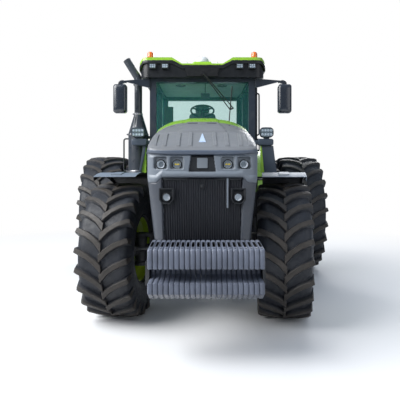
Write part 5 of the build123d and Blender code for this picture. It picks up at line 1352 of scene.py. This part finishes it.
# ------------------------------------------------------------------ inside the cab
def cushion_form(name, low, high, radius, crown):
    """A closed cushion block between two corners: rounded outline, crowned faces and sides drawn in
    between corners."""
    shape = Shape()
    low, high = np.asarray(low, float), np.asarray(high, float)
    middle, size = (low + high) / 2, high - low
    outline = rounded_outline(size[0], size[1], radius, 8)
    reach = np.abs(outline) / (size[:2] / 2)
    waist = 1 - 0.035 * np.clip(1 - reach.min(1) ** 2, 0, 1)
    rings = []
    for t in np.linspace(0, 1, 9):
        a = math.pi * t
        lift = -math.cos(a) * 0.5 * size[2]
        draw = 1 - 0.16 * (1 - math.sin(a) ** 0.5)
        o = outline * waist[:, None] * draw
        level = np.full(len(o), middle[2] + lift)
        rings.append(np.stack([middle[0] + o[:, 0], middle[1] + o[:, 1], level], -1))
    shape.loft(np.array(rings))
    thing = shape.make(name, CHASSIS, "seat", SEAT_CLOTH, sharp=180.0)
    points = rows_of(thing.data.vertices, "co")
    across = np.clip(1 - ((points[:, :2] - middle[:2]) / (size[:2] / 2)) ** 2, 0, 1).prod(1)
    points[:, 2] += crown * across * np.sign(points[:, 2] - middle[2])
    thing.data.vertices.foreach_set("co", points.ravel())
    return thing


def swell(thing, voxel, pressure, cap):
    """Puffs a cushion out by a short cloth simulation, with every point's move capped, and smooths it
    once."""
    bpy.context.view_layer.objects.active = thing
    remesh = thing.modifiers.new("even_mesh", "REMESH")
    remesh.mode, remesh.voxel_size = "VOXEL", voxel
    bpy.ops.object.modifier_apply(modifier=remesh.name)
    mesh = thing.data
    mesh.polygons.foreach_set("use_smooth", np.ones(len(mesh.polygons), bool))
    before = rows_of(mesh.vertices, "co")
    sim = thing.modifiers.new("pressure", "CLOTH")
    sim.settings.use_pressure = True
    sim.settings.uniform_pressure_force = pressure
    sim.settings.effector_weights.gravity = 0.0
    for number in range(1, 21):
        scene.frame_set(number)
    bpy.ops.object.modifier_apply(modifier=sim.name)
    scene.frame_set(1)
    move = rows_of(thing.data.vertices, "co") - before
    length = np.linalg.norm(move, axis=1, keepdims=True)
    move *= np.minimum(1.0, cap / np.maximum(length, 1e-9))
    thing.data.vertices.foreach_set("co", (before + move).ravel())
    smooth = thing.modifiers.new("smooth", "SUBSURF")
    smooth.levels = smooth.render_levels = 1
    thing.data.update()


def upright_block(name, low, high, radius, crown):
    """A cushion that stands up: made lying down, then its Y and Z changed over."""
    lying = cushion_form(name, (low[0], low[2], -high[1]), (high[0], high[2], -low[1]), radius, crown)
    points = rows_of(lying.data.vertices, "co")
    points[:, [1, 2]] = np.stack([-points[:, 2], points[:, 1]], -1)
    lying.data.vertices.foreach_set("co", points.ravel())
    lying.data.update()
    return lying


def seat_parts():
    """The operator's seat: a plastic-clad base, bellows, padded cushion, backrest, headrest and armrest."""
    cushion = cushion_form("seat_cushion", (-0.252, 0.352, 2.092), (0.252, 0.828, 2.218), 0.085, 0.006)
    swell(cushion, 0.006, 4.0, 0.012)
    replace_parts(cushion, "seat")
    backrest = upright_block("seat_backrest", (-0.236, 0.772, 2.192), (0.236, 0.872, 2.775), 0.085, 0.008)
    swell(backrest, 0.006, 4.0, 0.010)
    headrest = upright_block("seat_headrest", (-0.122, 0.824, 2.752), (0.122, 0.884, 2.892), 0.045, 0.004)
    swell(headrest, 0.005, 4.0, 0.008)
    armrest = cushion_form("armrest_pad", (-0.434, 0.340, 2.316), (-0.306, 0.750, 2.356), 0.040, 0.002)
    swell(armrest, 0.005, 3.0, 0.004)
    base = Shape()
    rounded_box(base, (-0.176, 0.405, 1.681), (0.176, 0.755, 1.760), 0.030, 0.008, "z")
    rounded_box(base, (-0.176, 0.405, 1.990), (0.176, 0.755, 2.078), 0.030, 0.008, "z")
    rounded_box(base, (-0.438, 0.570, 2.090), (-0.384, 0.650, 2.312), 0.016, 0.006, "z")
    rounded_box(base, (-0.400, 0.590, 2.100), (-0.230, 0.640, 2.140), 0.010, 0.006, "x")
    base.make("seat_base", CHASSIS, "console", BLACK_PLASTIC)
    folds = Shape()
    rings = []
    for i in range(11):
        width = 0.300 - 0.030 * (i % 2)
        o = rounded_outline(width, width, 0.040, 5)
        rings.append(np.stack([o[:, 0], 0.580 + o[:, 1], np.full(len(o), 1.758 + 0.0233 * i)], -1))
    folds.loft(np.array(rings))
    folds.make("seat_bellows", CHASSIS, "seat", RUBBER_TRIM)


def cab_fittings():
    """Headliner with two round speakers, the inside mirror, screens, joystick knob and switch keys."""
    liner = Shape()
    rounded_box(liner, (-0.66, -0.26, 3.098), (0.66, 1.20, 3.119), 0.06, 0.006, "z")
    liner.make("headliner", CHASSIS, "console", HEADLINER)
    dark = Shape()
    speaker = [(0, 0.0), (0, 0.078), (0.006, 0.078), (0.009, 0.070), (0.006, 0.062), (0.004, 0.0)]
    for x in (-0.334, 0.306):
        turned(dark, speaker, (x, 0.190, 3.099), (0, 0, -1), 40, False)
    rounded_box(dark, (-0.026, -0.300, 2.805), (0.108, -0.280, 2.892), 0.020, 0.006)
    stalk = rounded_path([(0.041, -0.288, 2.885), (0.041, -0.295, 2.960), (0.041, -0.330, 3.045)], 0.03, 6)
    tube(dark, stalk, 0.006, 10, (1, 0, 0))
    dark.make("speakers_and_mirror", CHASSIS, "trim", BLACK_PLASTIC)
    glass = Shape()
    face = rounded_outline(0.120, 0.072, 0.014, 5)
    slab(glass, face, (0.041, -0.279, 2.8485), REARWARD, UP, 0.002, 0.0006)
    glass.make("inside_mirror_glass", CHASSIS, "glass", REFLECTOR)
    screens = Shape()
    face = rounded_outline(0.122, 0.268, 0.008, 4)
    slab(screens, face, (-0.539, 0.4115, 2.645), REARWARD, UP, 0.003, 0.0008)
    screens.make("monitor_screen", CHASSIS, "console", SCREEN)
    keys = Shape()
    for i in range(6):
        for j in range(2):
            x, y = -0.500 + j * 0.055, 0.760 + i * 0.052
            rounded_box(keys, (x, y, 2.179), (x + 0.038, y + 0.032, 2.187), 0.006, 0.002, "z")
    knob = [(0, 0.0), (0, 0.020), (0.018, 0.027), (0.050, 0.026), (0.066, 0.016), (0.070, 0.0)]
    turned(keys, knob, (-0.370, 0.362, 2.455), (0, -0.1, 1), 24, False)
    keys.make("console_keys", CHASSIS, "console", BLACK_PLASTIC)


seat_parts()
cab_fittings()


# ------------------------------------------------------------------ camera, lights and floor
def level_camera():
    """A camera ahead of the nose at the lamps' height, level, its frame shifted instead of turned, so
    that uprights stay upright."""
    data = bpy.data.cameras.new("camera")
    data.sensor_width, data.lens = 36.0, 40.86
    data.shift_x, data.shift_y = -0.006, -0.0545
    camera = bpy.data.objects.new("camera", data)
    camera.location = (0.0, FRONT_AXLE_Y - 5.54, 1.66)
    camera.rotation_euler = (math.pi / 2, 0.0, 0.0)
    scene.collection.objects.link(camera)
    scene.camera = camera


def soft_lamp(name, place, aim, size, power):
    """A square area lamp at a place, turned to an aim point."""
    data = bpy.data.lights.new(name, "AREA")
    data.size, data.energy = size, power
    lamp = bpy.data.objects.new(name, data)
    lamp.location = place
    direction = np.asarray(aim, float) - np.asarray(place, float)
    lamp.rotation_euler = Vector(direction).to_track_quat("-Z", "Y").to_euler()
    scene.collection.objects.link(lamp)


def white_surround():
    """The world: plain white to the camera; as light, grey at the horizon turning pale blue overhead."""
    world = bpy.data.worlds.new("world")
    scene.world = world
    world.use_nodes = True
    tree = world.node_tree
    tree.nodes.clear()
    kinds = ("TexCoord", "SeparateXYZ", "MapRange", "Mix", "Background", "Background")
    place, height, fade, tint, sky, backdrop = (tree.nodes.new("ShaderNode" + kind) for kind in kinds)
    kinds = ("LightPath", "MixShader", "OutputWorld")
    rays, mix, out = (tree.nodes.new("ShaderNode" + kind) for kind in kinds)
    fade.inputs["From Min"].default_value, fade.inputs["From Max"].default_value = -0.15, 0.8
    tint.data_type = "RGBA"
    tint.inputs[6].default_value = (0.30, 0.31, 0.33, 1.0)
    tint.inputs[7].default_value = (0.80, 0.92, 1.10, 1.0)
    sky.inputs["Strength"].default_value = 0.55
    backdrop.inputs["Color"].default_value = (1.0, 1.0, 1.0, 1.0)
    links = (
        (place.outputs["Generated"], height.inputs[0]), (height.outputs["Z"], fade.inputs["Value"]),
        (fade.outputs[0], tint.inputs[0]), (tint.outputs[2], sky.inputs["Color"]),
        (rays.outputs["Is Camera Ray"], mix.inputs[0]), (sky.outputs[0], mix.inputs[1]),
        (backdrop.outputs[0], mix.inputs[2]), (mix.outputs[0], out.inputs[0]),
    )
    for a, b in links:
        tree.links.new(a, b)


def white_floor():
    """The floor: matte, so that it takes soft shadows, and to the camera fading to plain white from 3 to
    9 m away from the tractor's middle."""
    mesh = bpy.data.meshes.new("floor")
    mesh.from_pydata([(-60, -60, 0), (60, -60, 0), (60, 60, 0), (-60, 60, 0)], [], [(0, 1, 2, 3)])
    floor = bpy.data.objects.new("floor", mesh)
    scene.collection.objects.link(floor)
    f = Finish("floor_white")
    f.set(Roughness=0.9)
    rays = f.node("ShaderNodeLightPath")
    ground = f.mix(rays.outputs["Is Diffuse Ray"], (0.9, 0.9, 0.9), (0.22, 0.22, 0.23))
    f.link(ground, f.shader.inputs["Base Color"])
    distance = f.node("ShaderNodeVectorMath")
    distance.operation = "LENGTH"
    f.link(f.place, distance.inputs[0])
    away = f.band(distance.outputs["Value"], 3.0, 9.0)
    glow = f.node("ShaderNodeEmission", Strength=1.0)
    fade = f.node("ShaderNodeMixShader", Fac=f.maths("MULTIPLY", away, rays.outputs["Is Camera Ray"]))
    f.link(f.shader.outputs[0], fade.inputs[1])
    f.link(glow.outputs[0], fade.inputs[2])
    f.link(fade.outputs[0], f.out.inputs[0])
    mesh.materials.append(f.material)


level_camera()
soft_lamp("key", (-8.0, -5.0, 8.5), (0.0, -1.0, 1.2), 9.0, 2000.0)
soft_lamp("fill", (7.0, -8.0, 4.0), (0.0, 0.0, 1.2), 6.0, 110.0)
soft_lamp("back", (3.0, 8.0, 7.0), (0.0, 0.5, 1.5), 5.0, 350.0)
white_surround()
white_floor()
scene.view_settings.view_transform = "Standard"
